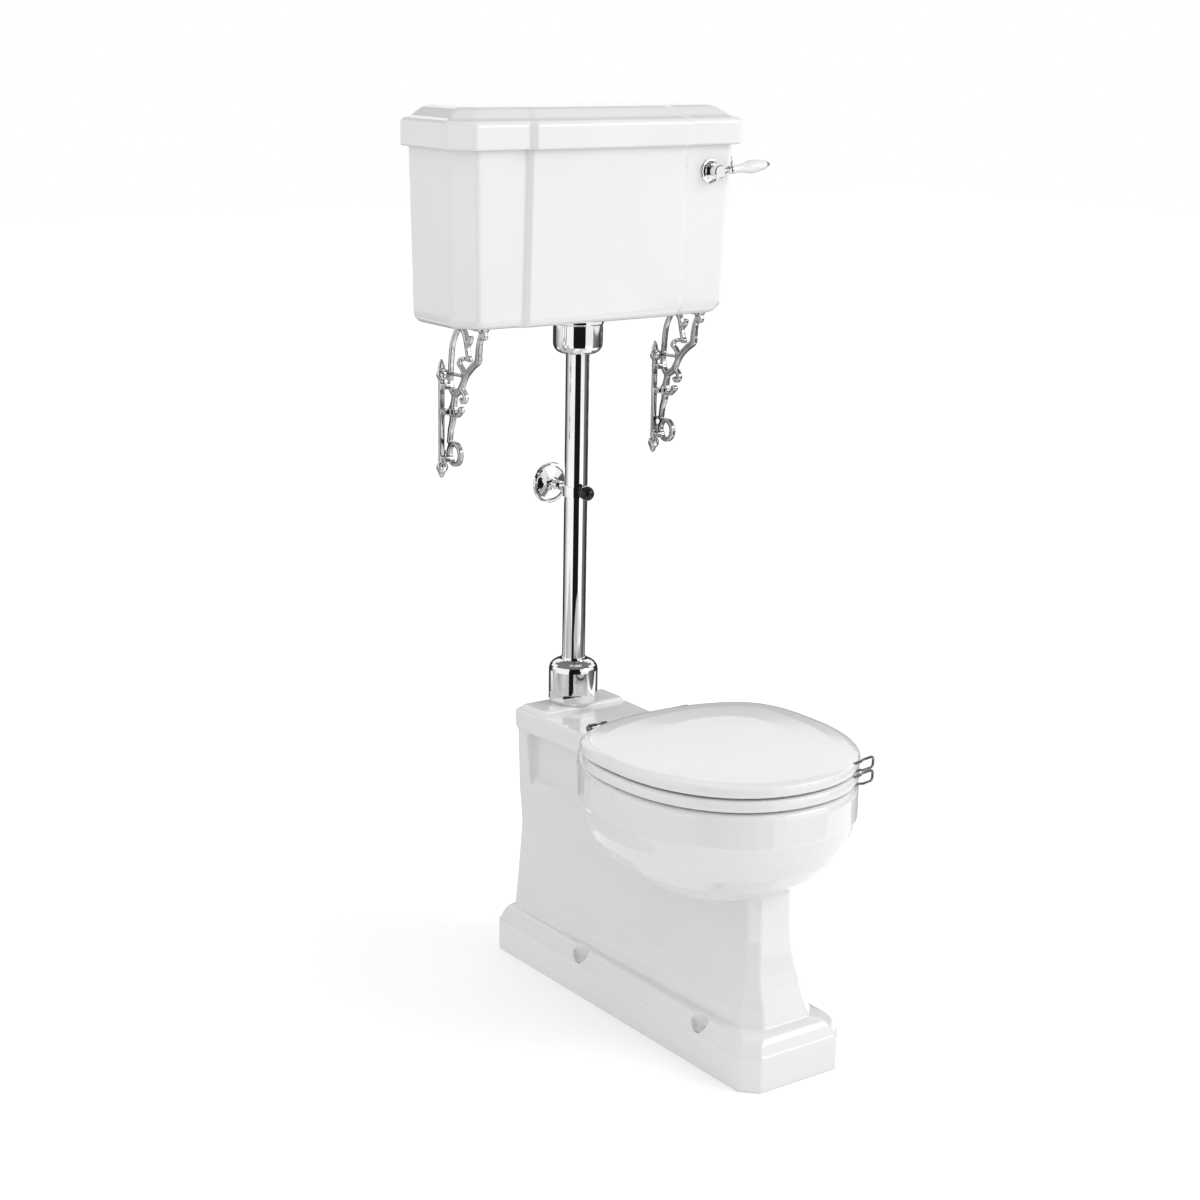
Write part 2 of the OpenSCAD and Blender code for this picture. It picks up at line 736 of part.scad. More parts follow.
module pan() {
    color(ceramic) difference() {
        union() {
            difference() {
                union() {
                    difference() {
                        union() {
                            trunk_solid();
                            platform();
                        }
                        cavity();
                        both() recess();
                    }
                    bowl_solid();
                    trap(trap_r + trap_wall);
                    along_y(0, outlet_z, -spigot_back - spigot_long, -spigot_back, spigot_r);
                    up(0, -pipe_y, duct_z - duct_r - duct_wall, cavity_top + over, inlet_r + duct_wall);
                    along_y(0, duct_z, -bowl_y + bowl_back - 6, -pipe_y, duct_r + duct_wall);
                }
                bowl_void();
            }
            both() up(hinge_x, -hinge_y, stud_hole_z - 6, cavity_top + over, stud_boss_r);
            translate([0, 0, rim_h - skirt_deep]) linear_extrude(skirt_deep - slab + 3)
                polygon(egg(well_half + skirt_t, well_front + skirt_t, well_back + skirt_t, -bowl_y));
        }
        translate([0, 0, rim_h - skirt_deep - over]) linear_extrude(skirt_deep + 2 * over)
            polygon(egg(well_half, well_front, well_back, -bowl_y));
        trap(trap_r);
        along_y(0, outlet_z, -spigot_back - spigot_long + 12, over - spigot_back, spigot_bore);
        up(0, -pipe_y, duct_z - duct_r, platform_top + over, inlet_r);
        along_y(0, duct_z, -bowl_y + bowl_back - void_wall - 8, -pipe_y, duct_r);
        for (x = [-floor_screw_x, floor_screw_x]) for (y = [floor_screw_back, floor_screw_front]) {
            up(x, -y, -over, floor_socket_z + over, floor_screw_r);
            up(x, -y, floor_socket_z, moulding_top + 30, floor_socket_r);
        }
        both() up(hinge_x, -hinge_y, stud_hole_z, rim_h + over, stud_hole_r);
    }
}

module flush_cone() {
    color(rubber) difference() {
        union() {
            up(0, -pipe_y, platform_top - 22, platform_top, inlet_r - push_gap);
            up(0, -pipe_y, platform_top, platform_top + 3, inlet_r + 4);
        }
        up(0, -pipe_y, platform_top - 23, platform_top + 4, pipe_hole);
    }
}

module bell_nut() {
    color(chrome) intersection() {
        translate([0, -pipe_y, 0]) rotate_extrude() polygon([
            [inlet_r + 5, bell_nut_z], [bell_r - 4, bell_nut_z], [bell_r, bell_nut_z + 6],
            [bell_r, bell_z - 1], [bell_r - 1, bell_z], [inlet_r + 5, bell_z]]);
        translate([0, -pipe_y, bell_nut_z - over]) rotate([0, 0, 22.5])
            linear_extrude(bell_nut_h + 2 * over) circle(r = bell_flat / cos(22.5), $fn = 8);
    }
}

module pipe_bell() {
    top = bell_top - 4;
    arc = [for (a = [0 : 15 : 90])
        [bell_r - bell_shoulder + bell_shoulder * cos(a), top - bell_shoulder * 0.9 + bell_shoulder * 0.9 * sin(a)]];
    color(chrome) translate([0, -pipe_y, 0]) rotate_extrude() polygon(concat(
        [[bell_r - 4, bell_z], [bell_r - 0.6, bell_z], [bell_r, bell_z + 0.6]], arc,
        [[pipe_hole + 2.2, top + 1.2], [pipe_hole + 1.6, bell_top], [pipe_hole, bell_top], [pipe_hole, top - 6],
        [bell_r - bell_shoulder - 2, top - 6], [bell_r - 6, top - bell_shoulder], [bell_r - 4, top - bell_shoulder - 4]]));
}

module flush_pipe() {
    color(chrome) difference() {
        up(0, -pipe_y, pipe_low, pipe_top, pipe_r);
        up(0, -pipe_y, pipe_low - over, pipe_top + over, pipe_r - pipe_wall);
    }
}

module coupling_nut() {
    arc = [for (a = [0 : 15 : 90])
        [cup_r - cup_round + cup_round * sin(a), cup_z + cup_round - cup_round * cos(a)]];
    color(chrome) translate([0, -pipe_y, 0]) rotate_extrude() polygon(concat(
        [[pipe_hole, cup_z]], arc,
        [[cup_r, flange_z - 0.8], [cup_r - 0.8, flange_z], [tail_r + push_gap, flange_z], [tail_r + push_gap, tail_z],
        [tail_r + 8, tail_z], [tail_r + 8, seal_z], [pipe_hole, seal_z]]));
}

module coupling_seal() {
    color(rubber) difference() {
        up(0, -pipe_y, seal_z, tail_z, tail_r + 8 - push_gap);
        up(0, -pipe_y, seal_z - over, tail_z + over, pipe_hole);
    }
}

module coupling_flange() {
    color(chrome) translate([0, -pipe_y, 0]) rotate_extrude() polygon([
        [tail_r + push_gap, flange_z], [flange_r - 1.5, flange_z], [flange_r, flange_z + 1.5],
        [flange_r, tank_z - 1], [flange_r - 1, tank_z], [tail_r + push_gap, tank_z]]);
}

function tank_share(z) = (z - tank_z) / tank_h;
function tank_half(z) = mix(tank_half_low, tank_half_high, tank_share(z));
function tank_deep(z) = mix(tank_deep_low, tank_deep_high, tank_share(z));

// outline of the cistern: chamfered front corners and a proud middle
function tank_outline(half, back, deep, cut, proud, panel) =
    rounded([
        [half, -back, 3], [-half, -back, 3],
        [-half, cut - deep + proud, 10], [cut - half, proud - deep, 10],
        [-panel - panel_slope, proud - deep, 4], [-panel, -deep, 4],
        [panel, -deep, 4], [panel + panel_slope, proud - deep, 4],
        [half - cut, proud - deep, 10], [half, cut - deep + proud, 10]], 3);

function tank_ring(z, inset) =
    at(tank_outline(tank_half(z) - inset, 0, tank_deep(z) - inset, tank_cut, panel_proud, panel_half), z);

function tank_inside(z) =
    at(rounded([
        [tank_half(z) - tank_wall, -tank_wall, 8], [tank_wall - tank_half(z), -tank_wall, 8],
        [tank_wall - tank_half(z), tank_cut + panel_proud + tank_wall - 5 - tank_deep(z), 8],
        [tank_wall - 5 - tank_half(z) + tank_cut, panel_proud + tank_wall - tank_deep(z), 8],
        [tank_half(z) - tank_wall + 5 - tank_cut, panel_proud + tank_wall - tank_deep(z), 8],
        [tank_half(z) - tank_wall, tank_cut + panel_proud + tank_wall - 5 - tank_deep(z), 8]], 3), z);

module cistern() {
    color(ceramic) difference() {
        union() {
            difference() {
                loft(concat(
                    [for (a = [0 : 18 : 90]) tank_ring(tank_z + tank_round * (1 - cos(a)), tank_round * (1 - sin(a)))],
                    [tank_ring(tank_rim - 1, 0), tank_ring(tank_rim, 1)]));
                loft([tank_inside(tank_floor), tank_inside(tank_rim + over)]);
            }
            along_y(lever_x, lever_z, pad_y, inner_pad_y, rosette_r - 1);
            along_x(inner_side_x, side_pad_x, -valve_y, valve_z, valve_tail_r + 7);
        }
        up(0, -pipe_y, tank_z - over, tank_floor + over, tail_r + 0.5);
        along_y(lever_x, lever_z, pad_y - over, inner_pad_y + over, bush_r + push_gap);
        along_x(inner_side_x - over, side_pad_x + over, -valve_y, valve_z, valve_tail_r + push_gap);
        for (x = [-wall_screw_x, wall_screw_x])
            along_y(x, tank_z + wall_screw_h, -tank_wall - over, over, wall_screw_r + 0.5);
    }
}

module siphon_washer() {
    color(rubber) difference() {
        up(0, -pipe_y, tank_floor, tank_floor + 3, leg_r + 8);
        up(0, -pipe_y, tank_floor - over, tank_floor + 4, tail_r + push_gap);
    }
}

module siphon_body() {
    base = tank_floor + 3;
    top = tank_floor + chamber_h;
    color(plastic) difference() {
        union() {
            up(0, -pipe_y, base, base + 5, leg_r + 8);
            up(0, -pipe_y, tail_z, base + over, tail_r);
            up(0, -pipe_y, base, top + 2, leg_r);
            up(rod_x, -pipe_y, tank_floor + 8, top, chamber_r);
            translate([0, -pipe_y, top - 5]) linear_extrude(crown_h + 5) hull() {
                circle(r = leg_r - 5);
                translate([rod_x, 0]) circle(r = leg_r - 5);
            }
        }
        up(0, -pipe_y, tail_z - over, top + crown_h - siphon_wall, tail_bore);
        up(rod_x, -pipe_y, tank_floor + 7, top - siphon_wall, chamber_r - siphon_wall);
        translate([0, -pipe_y, top - siphon_wall - over]) linear_extrude(crown_h + over) hull() {
            circle(r = leg_r - 5 - siphon_wall);
            translate([rod_x, 0]) circle(r = leg_r - 5 - siphon_wall);
        }
        up(rod_x, -pipe_y, top, top + crown_h + over, rod_r + 0.5);
    }
}

module fill_valve() {
    body_end = pivot_x + 12;
    color(brass) {
        difference() {
            union() {
                along_x(body_end, inner_side_x - 3, -valve_y, valve_z, valve_r);
                along_x(inner_side_x - 4, side_pad_x + valve_nut_t, -valve_y, valve_z, valve_tail_r);
                along_x(side_pad_x, side_pad_x + valve_nut_t + 2, -valve_y, valve_z, valve_tail_r - 0.8);
                along_x(side_pad_x + valve_nut_t + 1.5, valve_end, -valve_y, valve_z, valve_tail_r);
                along_x(inner_side_x - 6, inner_side_x - 3, -valve_y, valve_z, valve_r + 3);
                up(pivot_x + 25, -valve_y, valve_z - 22, valve_z, 9);
                for (side = [-1, 1])
                    block(pivot_x - 6, body_end + 2, -valve_y + side * 6 - 2, -valve_y + side * 6 + 2,
                        valve_z - 8, valve_z + 8);
            }
            along_x(body_end + 8, valve_end + over, -valve_y, valve_z, 6);
            up(pivot_x + 25, -valve_y, valve_z - 23, valve_z, 5);
            up(pivot_x + 25, -valve_y, valve_z - 23, valve_z - 12, tube_r + push_gap);
        }
        along_y(pivot_x, valve_z, -valve_y - 8.5, -valve_y + 8.5, 2);
    }
}

module fill_washer() {
    color(rubber) difference() {
        along_x(inner_side_x - 3, inner_side_x, -valve_y, valve_z, valve_r + 2);
        along_x(inner_side_x - 4, inner_side_x + over, -valve_y, valve_z, valve_tail_r + push_gap);
    }
}

module fill_nut() {
    color(brass) difference() {
        translate([side_pad_x, -valve_y, valve_z]) rotate([0, 90, 0]) linear_extrude(valve_nut_t) circle(r = valve_tail_r + 7, $fn = 6);
        along_x(side_pad_x - over, side_pad_x + 9, -valve_y, valve_z, valve_tail_r + push_gap);
    }
}

module fill_tube() {
    color(plastic) difference() {
        up(pivot_x + 25, -valve_y, tank_floor + tube_low, valve_z - 12, tube_r);
        up(pivot_x + 25, -valve_y, tank_floor + tube_low - over, valve_z - 11, tube_r - siphon_wall / 2);
    }
}

module lever_bush() {
    color(chrome) difference() {
        along_y(lever_x, lever_z, rosette_front, inner_pad_y + 12, bush_r);
        along_y(lever_x, lever_z, rosette_front - over, inner_pad_y + 13, spindle_r + run_gap);
    }
}

module lever_rosette() {
    color(chrome) translate([lever_x, pad_y, lever_z]) rotate([90, 0, 0]) rotate_extrude() polygon([
        [bush_r + push_gap, 0], [rosette_r, 0], [rosette_r, rosette_t - 2.2], [rosette_r - 0.8, rosette_t - 1.4],
        [rosette_r - 2.6, rosette_t - 1], [rosette_ring_r + 1.2, rosette_t], [rosette_ring_r, rosette_t + 0.6],
        [rosette_ring_r, rosette_t + rosette_ring_t - 1.5], [rosette_ring_r - 1.5, rosette_t + rosette_ring_t],
        [bush_r + push_gap, rosette_t + rosette_ring_t]]);
}

module lever_nut() {
    color(chrome) difference() {
        translate([lever_x, inner_pad_y + 6, lever_z]) rotate([90, 0, 0]) linear_extrude(6) circle(r = bush_r + 6, $fn = 6);
        along_y(lever_x, lever_z, inner_pad_y - over, inner_pad_y + 7, bush_r + push_gap);
    }
}

module lever_spindle() {
    color(steel) union() {
        along_y(lever_x, lever_z, hub_front + 3, arm_plane + 4, spindle_r);
        along_y(lever_x, lever_z, arm_plane + 2 + push_gap, arm_plane + 6, spindle_r + 3);
    }
}

// the lever's outer pieces are turned shapes along the lever, from the hub's middle
module turned(profile) {
    translate([lever_x, hub_mid, lever_z]) rotate([0, 90 - lever_tilt, 0]) rotate_extrude() polygon(profile);
}

module lever_hub() {
    color(chrome) difference() {
        union() {
            translate([lever_x, rosette_front - rest_gap, lever_z]) rotate([90, 0, 0]) rotate_extrude() polygon([
                [0, 0], [hub_r - 0.5, 0], [hub_r, 0.5], [hub_r, hub_t - 1.2], [hub_r - 1.2, hub_t], [0, hub_t]]);
            turned([[0, 0], [6.4, 0], [6.2, hub_r], [4.6, hub_r + 4], [3.6, hub_r + 8], [3.6, grip_start - 6.5],
                [5.4, grip_start - 6], [5.6, grip_start - 4.6], [5.2, grip_start - 3.4], [4.4, grip_start - 3],
                [6.4, grip_start - 1.2], [6.4, grip_start], [2.5, grip_start], [2.5, grip_start + 8], [0, grip_start + 8]]);
        }
        along_y(lever_x, lever_z, hub_front + 3, rosette_front + over, spindle_r + push_gap);
    }
}

function grip_profile() =
    [for (t = [0 : 0.0625 : 1])
        let (waist = 1 - ease(t / 0.22), bulge = ease((t - 0.22) / 0.4), end = ease((t - 0.66) / 0.34))
        [0.6 * grip_r + 0.08 * grip_r * waist + 0.4 * grip_r * bulge - 0.27 * grip_r * end, grip_start + grip_long * t]];

module lever_grip() {
    color(ceramic) turned(concat(
        [[2.5 + push_gap, grip_start + grip_long], [2.5 + push_gap, grip_start]], grip_profile()));
}

module lever_tip() {
    start = grip_start + grip_long;
    color(chrome) turned([
        [0, start - 12], [2.5, start - 12], [2.5, start], [6, start], [6.3, start + 1], [6, start + 2.2],
        [4.6, start + 3], [3.8, start + 5], [2.6, start + 8], [1.2, start + tip_long - 0.6], [0, start + tip_long]]);
}

module lever_arm() {
    slot0 = lever_reach - rod_r - 0.6;
    slot1 = lever_reach + 14.6;
    // the arm turns while the hook's pin goes straight up, so the slot is wider than the pin
    slot_half = rod_r + 1.8;
    color(brass) translate([lever_x, arm_plane + 2, lever_z]) rotate([90, 0, 0]) linear_extrude(4) difference() {
        union() {
            circle(r = spindle_r + 5);
            translate([-slot1 - 4, -6.5]) square([slot1 + 4, 13]);
        }
        circle(r = spindle_r + push_gap);
        translate([-slot1, -slot_half]) square([slot1 - slot0, 2 * slot_half]);
    }
}

module lift_rod() {
    color(brass) up(rod_x, -pipe_y, tank_floor + 18, lever_z - 6, rod_r);
}

module lift_hook() {
    color(brass) difference() {
        union() {
            block(rod_x - 5, rod_x + 5, -pipe_y - 6, -pipe_y + 5, lever_z - 16, lever_z + 5);
            along_y(rod_x, lever_z, arm_plane - 6, -pipe_y - 5, rod_r);
            along_y(rod_x, lever_z, arm_plane - 6, arm_plane - 4, rod_r + 3);
        }
        up(rod_x, -pipe_y, lever_z - 17, lever_z - 6, rod_r + push_gap);
    }
}

module siphon_plate() {
    color(plastic) difference() {
        union() {
            up(rod_x, -pipe_y, tank_floor + 22, tank_floor + 25, chamber_r - siphon_wall - 1);
            up(rod_x, -pipe_y, tank_floor + 18, tank_floor + 25, 6);
        }
        up(rod_x, -pipe_y, tank_floor + 17, tank_floor + 26, rod_r + push_gap);
        for (a = [0 : 60 : 300]) translate([rod_x, -pipe_y, 0]) rotate([0, 0, a]) up(22, 0, tank_floor + 21, tank_floor + 26, 7);
    }
}

module siphon_flap() {
    color(rubber) difference() {
        up(rod_x, -pipe_y, tank_floor + 25, tank_floor + 26, chamber_r - siphon_wall - 3);
        up(rod_x, -pipe_y, tank_floor + 24, tank_floor + 27, rod_r + push_gap);
    }
}

module float_place() {
    translate([pivot_x, -valve_y, valve_z]) rotate([0, -float_down, 0]) children();
}

module float_arm_rod() {
    color(brass) float_place() difference() {
        union() {
            along_y(0, 0, -4 + rest_gap, 4 - rest_gap, 5);
            along_x(-float_arm + float_r - 10, -3, 0, 0, 3);
        }
        along_y(0, 0, -5, 5, 2 + run_gap);
    }
}

module float_ball() {
    color(plastic) float_place() difference() {
        union() {
            translate([-float_arm, 0, 0]) sphere(r = float_r);
            along_x(-float_arm + float_r - 3, -float_arm + float_r + 3, 0, 0, 7);
        }
        along_x(-float_arm + float_r - 12, -float_arm + float_r + 4, 0, 0, 3 + push_gap);
    }
}

module float_nut() {
    color(brass) float_place() difference() {
        translate([-float_arm + float_r + 3, 0, 0]) rotate([0, 90, 0]) linear_extrude(4) circle(r = 6, $fn = 6);
        along_x(-float_arm + float_r + 2, -float_arm + float_r + 8, 0, 0, 3 + push_gap);
    }
}

function cover_ring(inset, back, z) =
    at(tank_outline(cover_half - inset, back, cover_deep - inset, tank_cut + 2 - 0.3 * inset, panel_proud,
        panel_half + 2 - 0.5 * inset), z);

module cistern_lid() {
    color(ceramic) difference() {
        loft(concat(
            [cover_ring(1.5, 0, cover_low), cover_ring(0, 0, cover_low + 1.5)],
            [for (a = [0 : 22.5 : 90]) cover_ring(cover_round * (1 - cos(a)), 0.3 * cover_round * (1 - cos(a)),
                cover_edge - cover_round * (1 - sin(a)))],
            [for (t = [0.2 : 0.2 : 1]) cover_ring(cover_round + (cover_slope - cover_round) * t,
                0.3 * cover_round + 2 * t, mix(cover_edge, cover_top, ease(0.5 * t + 0.5 * sin(90 * t))))]));
        translate([0, 0, cover_low - over]) linear_extrude(tank_rim - cover_low + over) polygon(
            tank_outline(tank_half_high + cover_gap, -2, tank_deep_high + cover_gap, tank_cut, panel_proud,
                panel_half + cover_gap));
        loft([tank_inside(tank_rim - 2), tank_inside(tank_rim + 4),
            [for (p = tank_inside(cover_edge - cover_t + 4)) [0.92 * p.x, 0.84 * (p.y + 80) - 80, p.z]]]);
    }
}

// the scrolled plate, drawn with x = distance from the wall and y = height
module scroll_shape() {
    translate([0, tank_z]) scale(scroll_size) translate([0, -1002]) offset(r = -1.2, $fn = 16) offset(r = 1.2, $fn = 16) {
        difference() {
            union() {
                translate([23.5, 808]) circle(r = 18.8);
                polygon(strip(curve([[9, 822, 3.2], [12, 842, 3.6], [17, 856, 4.2], [18, 868, 5]], 5)));
                translate([18, 872]) circle(r = 8);
                polygon(strip(curve([[20, 868, 3.5], [31, 866, 3], [41, 875, 3.2]], 5)));
                translate([41, 876]) circle(r = 5);
                polygon(strip(curve([[18, 874, 6], [21, 886, 4], [24, 899, 4.5]], 5)));
                polygon(strip(curve([[22, 896, 3.5], [33, 903, 3.5], [45, 904, 3.5], [53, 896, 3.2],
                    [47, 888, 2.8], [40, 893, 2.4]], 6)));
                polygon(strip(curve([[22, 896, 4], [14, 904, 3.5], [11, 917, 3], [12, 931, 3], [16, 965, 3],
                    [25, 985, 3.2], [36, 999, 4]], 6)));
                polygon(strip(curve([[34, 999, 4], [50, 989, 3.6], [57, 968, 3.2], [61, 952, 2.6]], 6)));
                polygon(strip(curve([[24, 896, 4], [37.5, 904, 4], [54, 928, 4], [72, 944, 4.6], [85, 953, 5],
                    [87, 966, 4.4], [90, 982, 3.8], [99, 997, 5]], 6)));
                translate([99.5, 991]) circle(r = 7);
                polygon(strip(curve([[50, 930, 3], [42, 938, 2.6], [35, 943, 2.6], [41, 951, 2.4], [50, 952, 2.2]], 5)));
                polygon(strip([[13, 925, 2.3], [30, 926, 2.3], [51, 927, 2.3]]));
                translate([50, 952]) circle(r = 3.6);
                translate([62, 953]) circle(r = 4.4);
                polygon(strip(curve([[56, 972, 2.8], [63, 978, 3.2], [67, 986, 2.4]], 5)));
                translate([22, 997]) square([ledge_front / scroll_size - 22, 5]);
            }
            translate([23.5, 808]) circle(r = 12);
        }
    }
}

module bracket() {
    color(chrome) difference() {
        union() {
            block(-bar_w / 2, bar_w / 2, -bar_t, 0, screw_low_z - 8, screw_high_z + 8);
            along_y(0, screw_high_z, -boss_t, 0, boss_r);
            along_y(0, screw_low_z, -boss_t, 0, boss_r);
            rotate([90, 0, 0]) linear_extrude(bar_t) polygon(strip(curve([[0, screw_high_z, 6], [0, screw_high_z + 10, 5.5],
                [0, screw_high_z + 17, 3.4], [0, screw_high_z + 22, 0.8]], 5)));
            rotate([90, 0, 0]) linear_extrude(bar_t) polygon(strip(curve([[0, screw_low_z, 6], [0, screw_low_z - 10, 4.6],
                [0, screw_low_z - 16, 1]], 5)));
            translate([plate_off + plate_t / 2, 0, 0]) rotate([90, 0, -90]) linear_extrude(plate_t) scroll_shape();
            for (drop = [202, 132, 94])
                block(-bar_w / 2 + 1, plate_off + plate_t / 2, -16, 0, tank_z - drop * scroll_size - 5,
                    tank_z - drop * scroll_size + 3);
            translate([0, 0, tank_z - ledge_t])
                linear_extrude(ledge_t) polygon(rounded([
                    [plate_off + 9, -ledge_back, 3], [plate_off - 9, -ledge_back, 3], [plate_off - 9, -ledge_front, 6],
                    [plate_off + 9, -ledge_front, 6]], 4));
        }
        along_y(0, screw_high_z, -boss_t - over, over, bracket_hole_r);
        along_y(0, screw_low_z, -boss_t - over, over, bracket_hole_r);
    }
}

module left_bracket() {
    translate([-bracket_x, 0, 0]) bracket();
}

module right_bracket() {
    translate([bracket_x, 0, 0]) bracket();
}

module bracket_screws() {
    h = bracket_hole_r;
    color(chrome) for (x = [-bracket_x, bracket_x]) for (z = [screw_low_z, screw_high_z])
        translate([x, -boss_t, z]) rotate([90, 0, 0]) difference() {
            rotate_extrude() polygon([
                [0, 0.5 - boss_t], [h - push_gap, 1 - boss_t], [h - push_gap, 0], [1.87 * h, 0], [1.87 * h, 0.27 * h],
                [1.7 * h, 0.67 * h], [1.33 * h, h], [0.67 * h, 1.2 * h], [0, 1.27 * h]]);
            translate([-7, -0.5, 0.87 * h]) cube([14, 1, 4]);
        }
}

module tank_screws() {
    r = wall_screw_r;
    color(steel) for (x = [-wall_screw_x, wall_screw_x])
        translate([x, -tank_wall, tank_z + wall_screw_h]) rotate([90, 0, 0]) rotate_extrude() polygon([
            [0, 1 - tank_wall], [r, 1 - tank_wall], [r, 0], [2.5 * r, 0], [2.5 * r, 0.4 * r], [1.75 * r, 0.4 * r],
            [1.75 * r, r], [r, 1.5 * r], [0, 1.5 * r]]);
}

module clip_plate() {
    color(chrome) translate([0, 0, clip_z]) rotate([90, 0, 0]) rotate_extrude() polygon([
        [clip_arm_r + push_gap, 0], [clip_plate_r - 1, 0], [clip_plate_r, 1.5], [clip_plate_r, 3],
        [clip_plate_r - 1.5, 4.5], [clip_plate_r - 4, 4.2], [clip_plate_r - 5, 3.4], [clip_plate_r - 7, 3.6],
        [16, clip_plate_t - 1.6], [11, clip_plate_t], [clip_arm_r + push_gap, clip_plate_t + 0.6]]);
}

module clip_half(front) {
    difference() {
        up(0, -pipe_y, clip_z - clip_band_h / 2, clip_z + clip_band_h / 2, clip_out);
        up(0, -pipe_y, clip_z - clip_band_h, clip_z + clip_band_h, clip_in);
        block(-40, 40, front ? -pipe_y : -pipe_y - 40, front ? 0 : -pipe_y, clip_z - clip_band_h, clip_z + clip_band_h);
    }
}

module clip_stem() {
    color(chrome) union() {
        clip_half(false);
        difference() {
            along_y(0, clip_z, -pipe_y + clip_in + 1, 0, clip_arm_r);
            up(0, -pipe_y, clip_z - clip_band_h, clip_z + clip_band_h, clip_in + 0.5);
        }
    }
}

module clip_band() {
    color(chrome) difference() {
        clip_half(true);
        along_y(0, clip_z, -pipe_y - clip_out - over, -pipe_y - clip_in + over, 3 + push_gap);
    }
}

module clip_ball() {
    seat = -pipe_y - clip_out - rest_gap;
    color(chrome) union() {
        difference() {
            translate([0, seat - 0.72 * ball_r, clip_z]) sphere(r = ball_r);
            block(-ball_r, ball_r, seat, 0, clip_z - ball_r, clip_z + ball_r);
        }
        along_y(0, clip_z, seat - over, -pipe_y - clip_in - rest_gap, 3);
    }
}

function seat_outline(off) = egg(seat_half - off, bowl_front - off, seat_back - off, -bowl_y);
function hole_outline(off) = egg(hole_half + off, hole_long + off, hole_long + off, -hole_y);

// where a handle's legs enter the board, at the level z
module handle_place(z) {
    x = seat_half * pow(1 - pow(handle_ahead / bowl_front, front_power), 1 / front_power);
    translate([x, -handle_y, z]) rotate([0, 0, handle_turn]) children();
}

module handle(z) {
    r = 5;
    low = loop_h / 2;
    top = loop_wide / 2;
    swell = [for (t = [0 : 0.25 : 1]) let (rise = atan(6 * (top - low) * t * (1 - t) / 7))
        [[5 + 7 * t, 0, mix(low, top, ease(t))], [cos(rise), 0, sin(rise)]]];
    path = concat(
        [[[-loop_in, 0, -low], [1, 0, 0]]],
        [for (s = swell) [[s[0].x, 0, -s[0].z], [s[1].x, 0, -s[1].z]]],
        [for (a = [-90 : 22.5 : 0]) [[loop_out - r + r * cos(a), 0, -top + r + r * sin(a)], [-sin(a), 0, cos(a)]]],
        [for (a = [0 : 22.5 : 90]) [[loop_out - r + r * cos(a), 0, top - r + r * sin(a)], [-sin(a), 0, cos(a)]]],
        [for (i = [4 : -1 : 0]) [swell[i][0], -swell[i][1]]],
        [[[-loop_in, 0, low], [-1, 0, 0]]]);
    color(chrome) handle_place(z) loft([for (s = path) hoop(s[0], s[1], [0, 1, 0], wire_r, 12)]);
}

module handle_holes(z) {
    handle_place(z) for (h = [-loop_h / 2, loop_h / 2])
        along_x(-loop_in - 0.5, 12, 0, h, wire_r + push_gap);
}

module seat_ring() {
    e = edge_round;
    color(ceramic) difference() {
        loop(concat(
            [for (a = [-90 : 30 : 0]) at(seat_outline(e - e * cos(a)), seat_low + e + e * sin(a))],
            [for (a = [0 : 30 : 90]) at(seat_outline(e - e * cos(a)), seat_high - e + e * sin(a))],
            [for (a = [90 : 30 : 180]) at(hole_outline(2 * e + 2 * e * cos(a)), seat_high - e + e * sin(a))],
            [for (a = [180 : 45 : 270]) at(hole_outline(e + e * cos(a)), seat_low + e + e * sin(a))]));
        for (x = [-buffer_x, buffer_x]) for (y = [-buffer_y, buffer_y])
            up(x, -bowl_y + y, seat_low - over, seat_low + buffer_stem + 0.2, 2 + push_gap);
        both() block(hinge_x + eye_half + arm_gap - push_gap, hinge_x + eye_half + arm_gap + arm_w + push_gap,
            -hinge_y - arm_long - push_gap, -hinge_y, seat_high - arm_t, seat_high + over);
        handle_holes(seat_low + seat_t / 2);
    }
}

module seat_lid() {
    e = edge_round;
    span = seat_half - 60;
    color(ceramic) difference() {
        loft(concat(
            [for (a = [-90 : 30 : 0]) at(seat_outline(e - e * cos(a)), lid_low + e + e * sin(a))],
            [for (a = [0 : 30 : 60]) at(seat_outline(e - e * cos(a)), lid_high - e + e * sin(a))],
            [for (t = [0.02, 0.1, 0.25, 0.5, 0.8, 1]) at(seat_outline(e + span * t * t),
                lid_high - 0.3 + lid_dome * sin(90 * t))]));
        for (x = [-buffer_x, buffer_x]) for (y = [-buffer_y, buffer_y])
            up(x, -bowl_y + y, lid_low - over, lid_low + buffer_stem + 0.2, 2 + push_gap);
        both() block(hinge_x - eye_half - arm_gap - arm_w - push_gap, hinge_x - eye_half - arm_gap + push_gap,
            -hinge_y - arm_long - push_gap, -hinge_y, lid_low - over, lid_low + arm_t);
        handle_holes(lid_low + seat_t / 2);
    }
}

module buffers(z) {
    color(rubber) for (x = [-buffer_x, buffer_x]) for (y = [-buffer_y, buffer_y]) {
        up(x, -bowl_y + y, z - seat_gap + rest_gap, z, buffer_r);
        up(x, -bowl_y + y, z - over, z + buffer_stem, 2);
    }
}

module seat_buffers() {
    buffers(seat_low);
}

module lid_buffers() {
    buffers(lid_low);
}

module seat_handle() {
    handle(seat_low + seat_t / 2);
}

module lid_handle() {
    handle(lid_low + seat_t / 2);
}

// one hinge arm on the right: x0 to x1, strap between z0 and z1
module hinge_arm(x0, x1, z0, z1) {
    difference() {
        union() {
            along_x(x0, x1, -hinge_y, hinge_z, barrel_r);
            block(x0, x1, -hinge_y - arm_long, -hinge_y - pin_r - 1, z0, z1);
        }
        along_x(x0 - over, x1 + over, -hinge_y, hinge_z, pin_r + run_gap);
    }
}

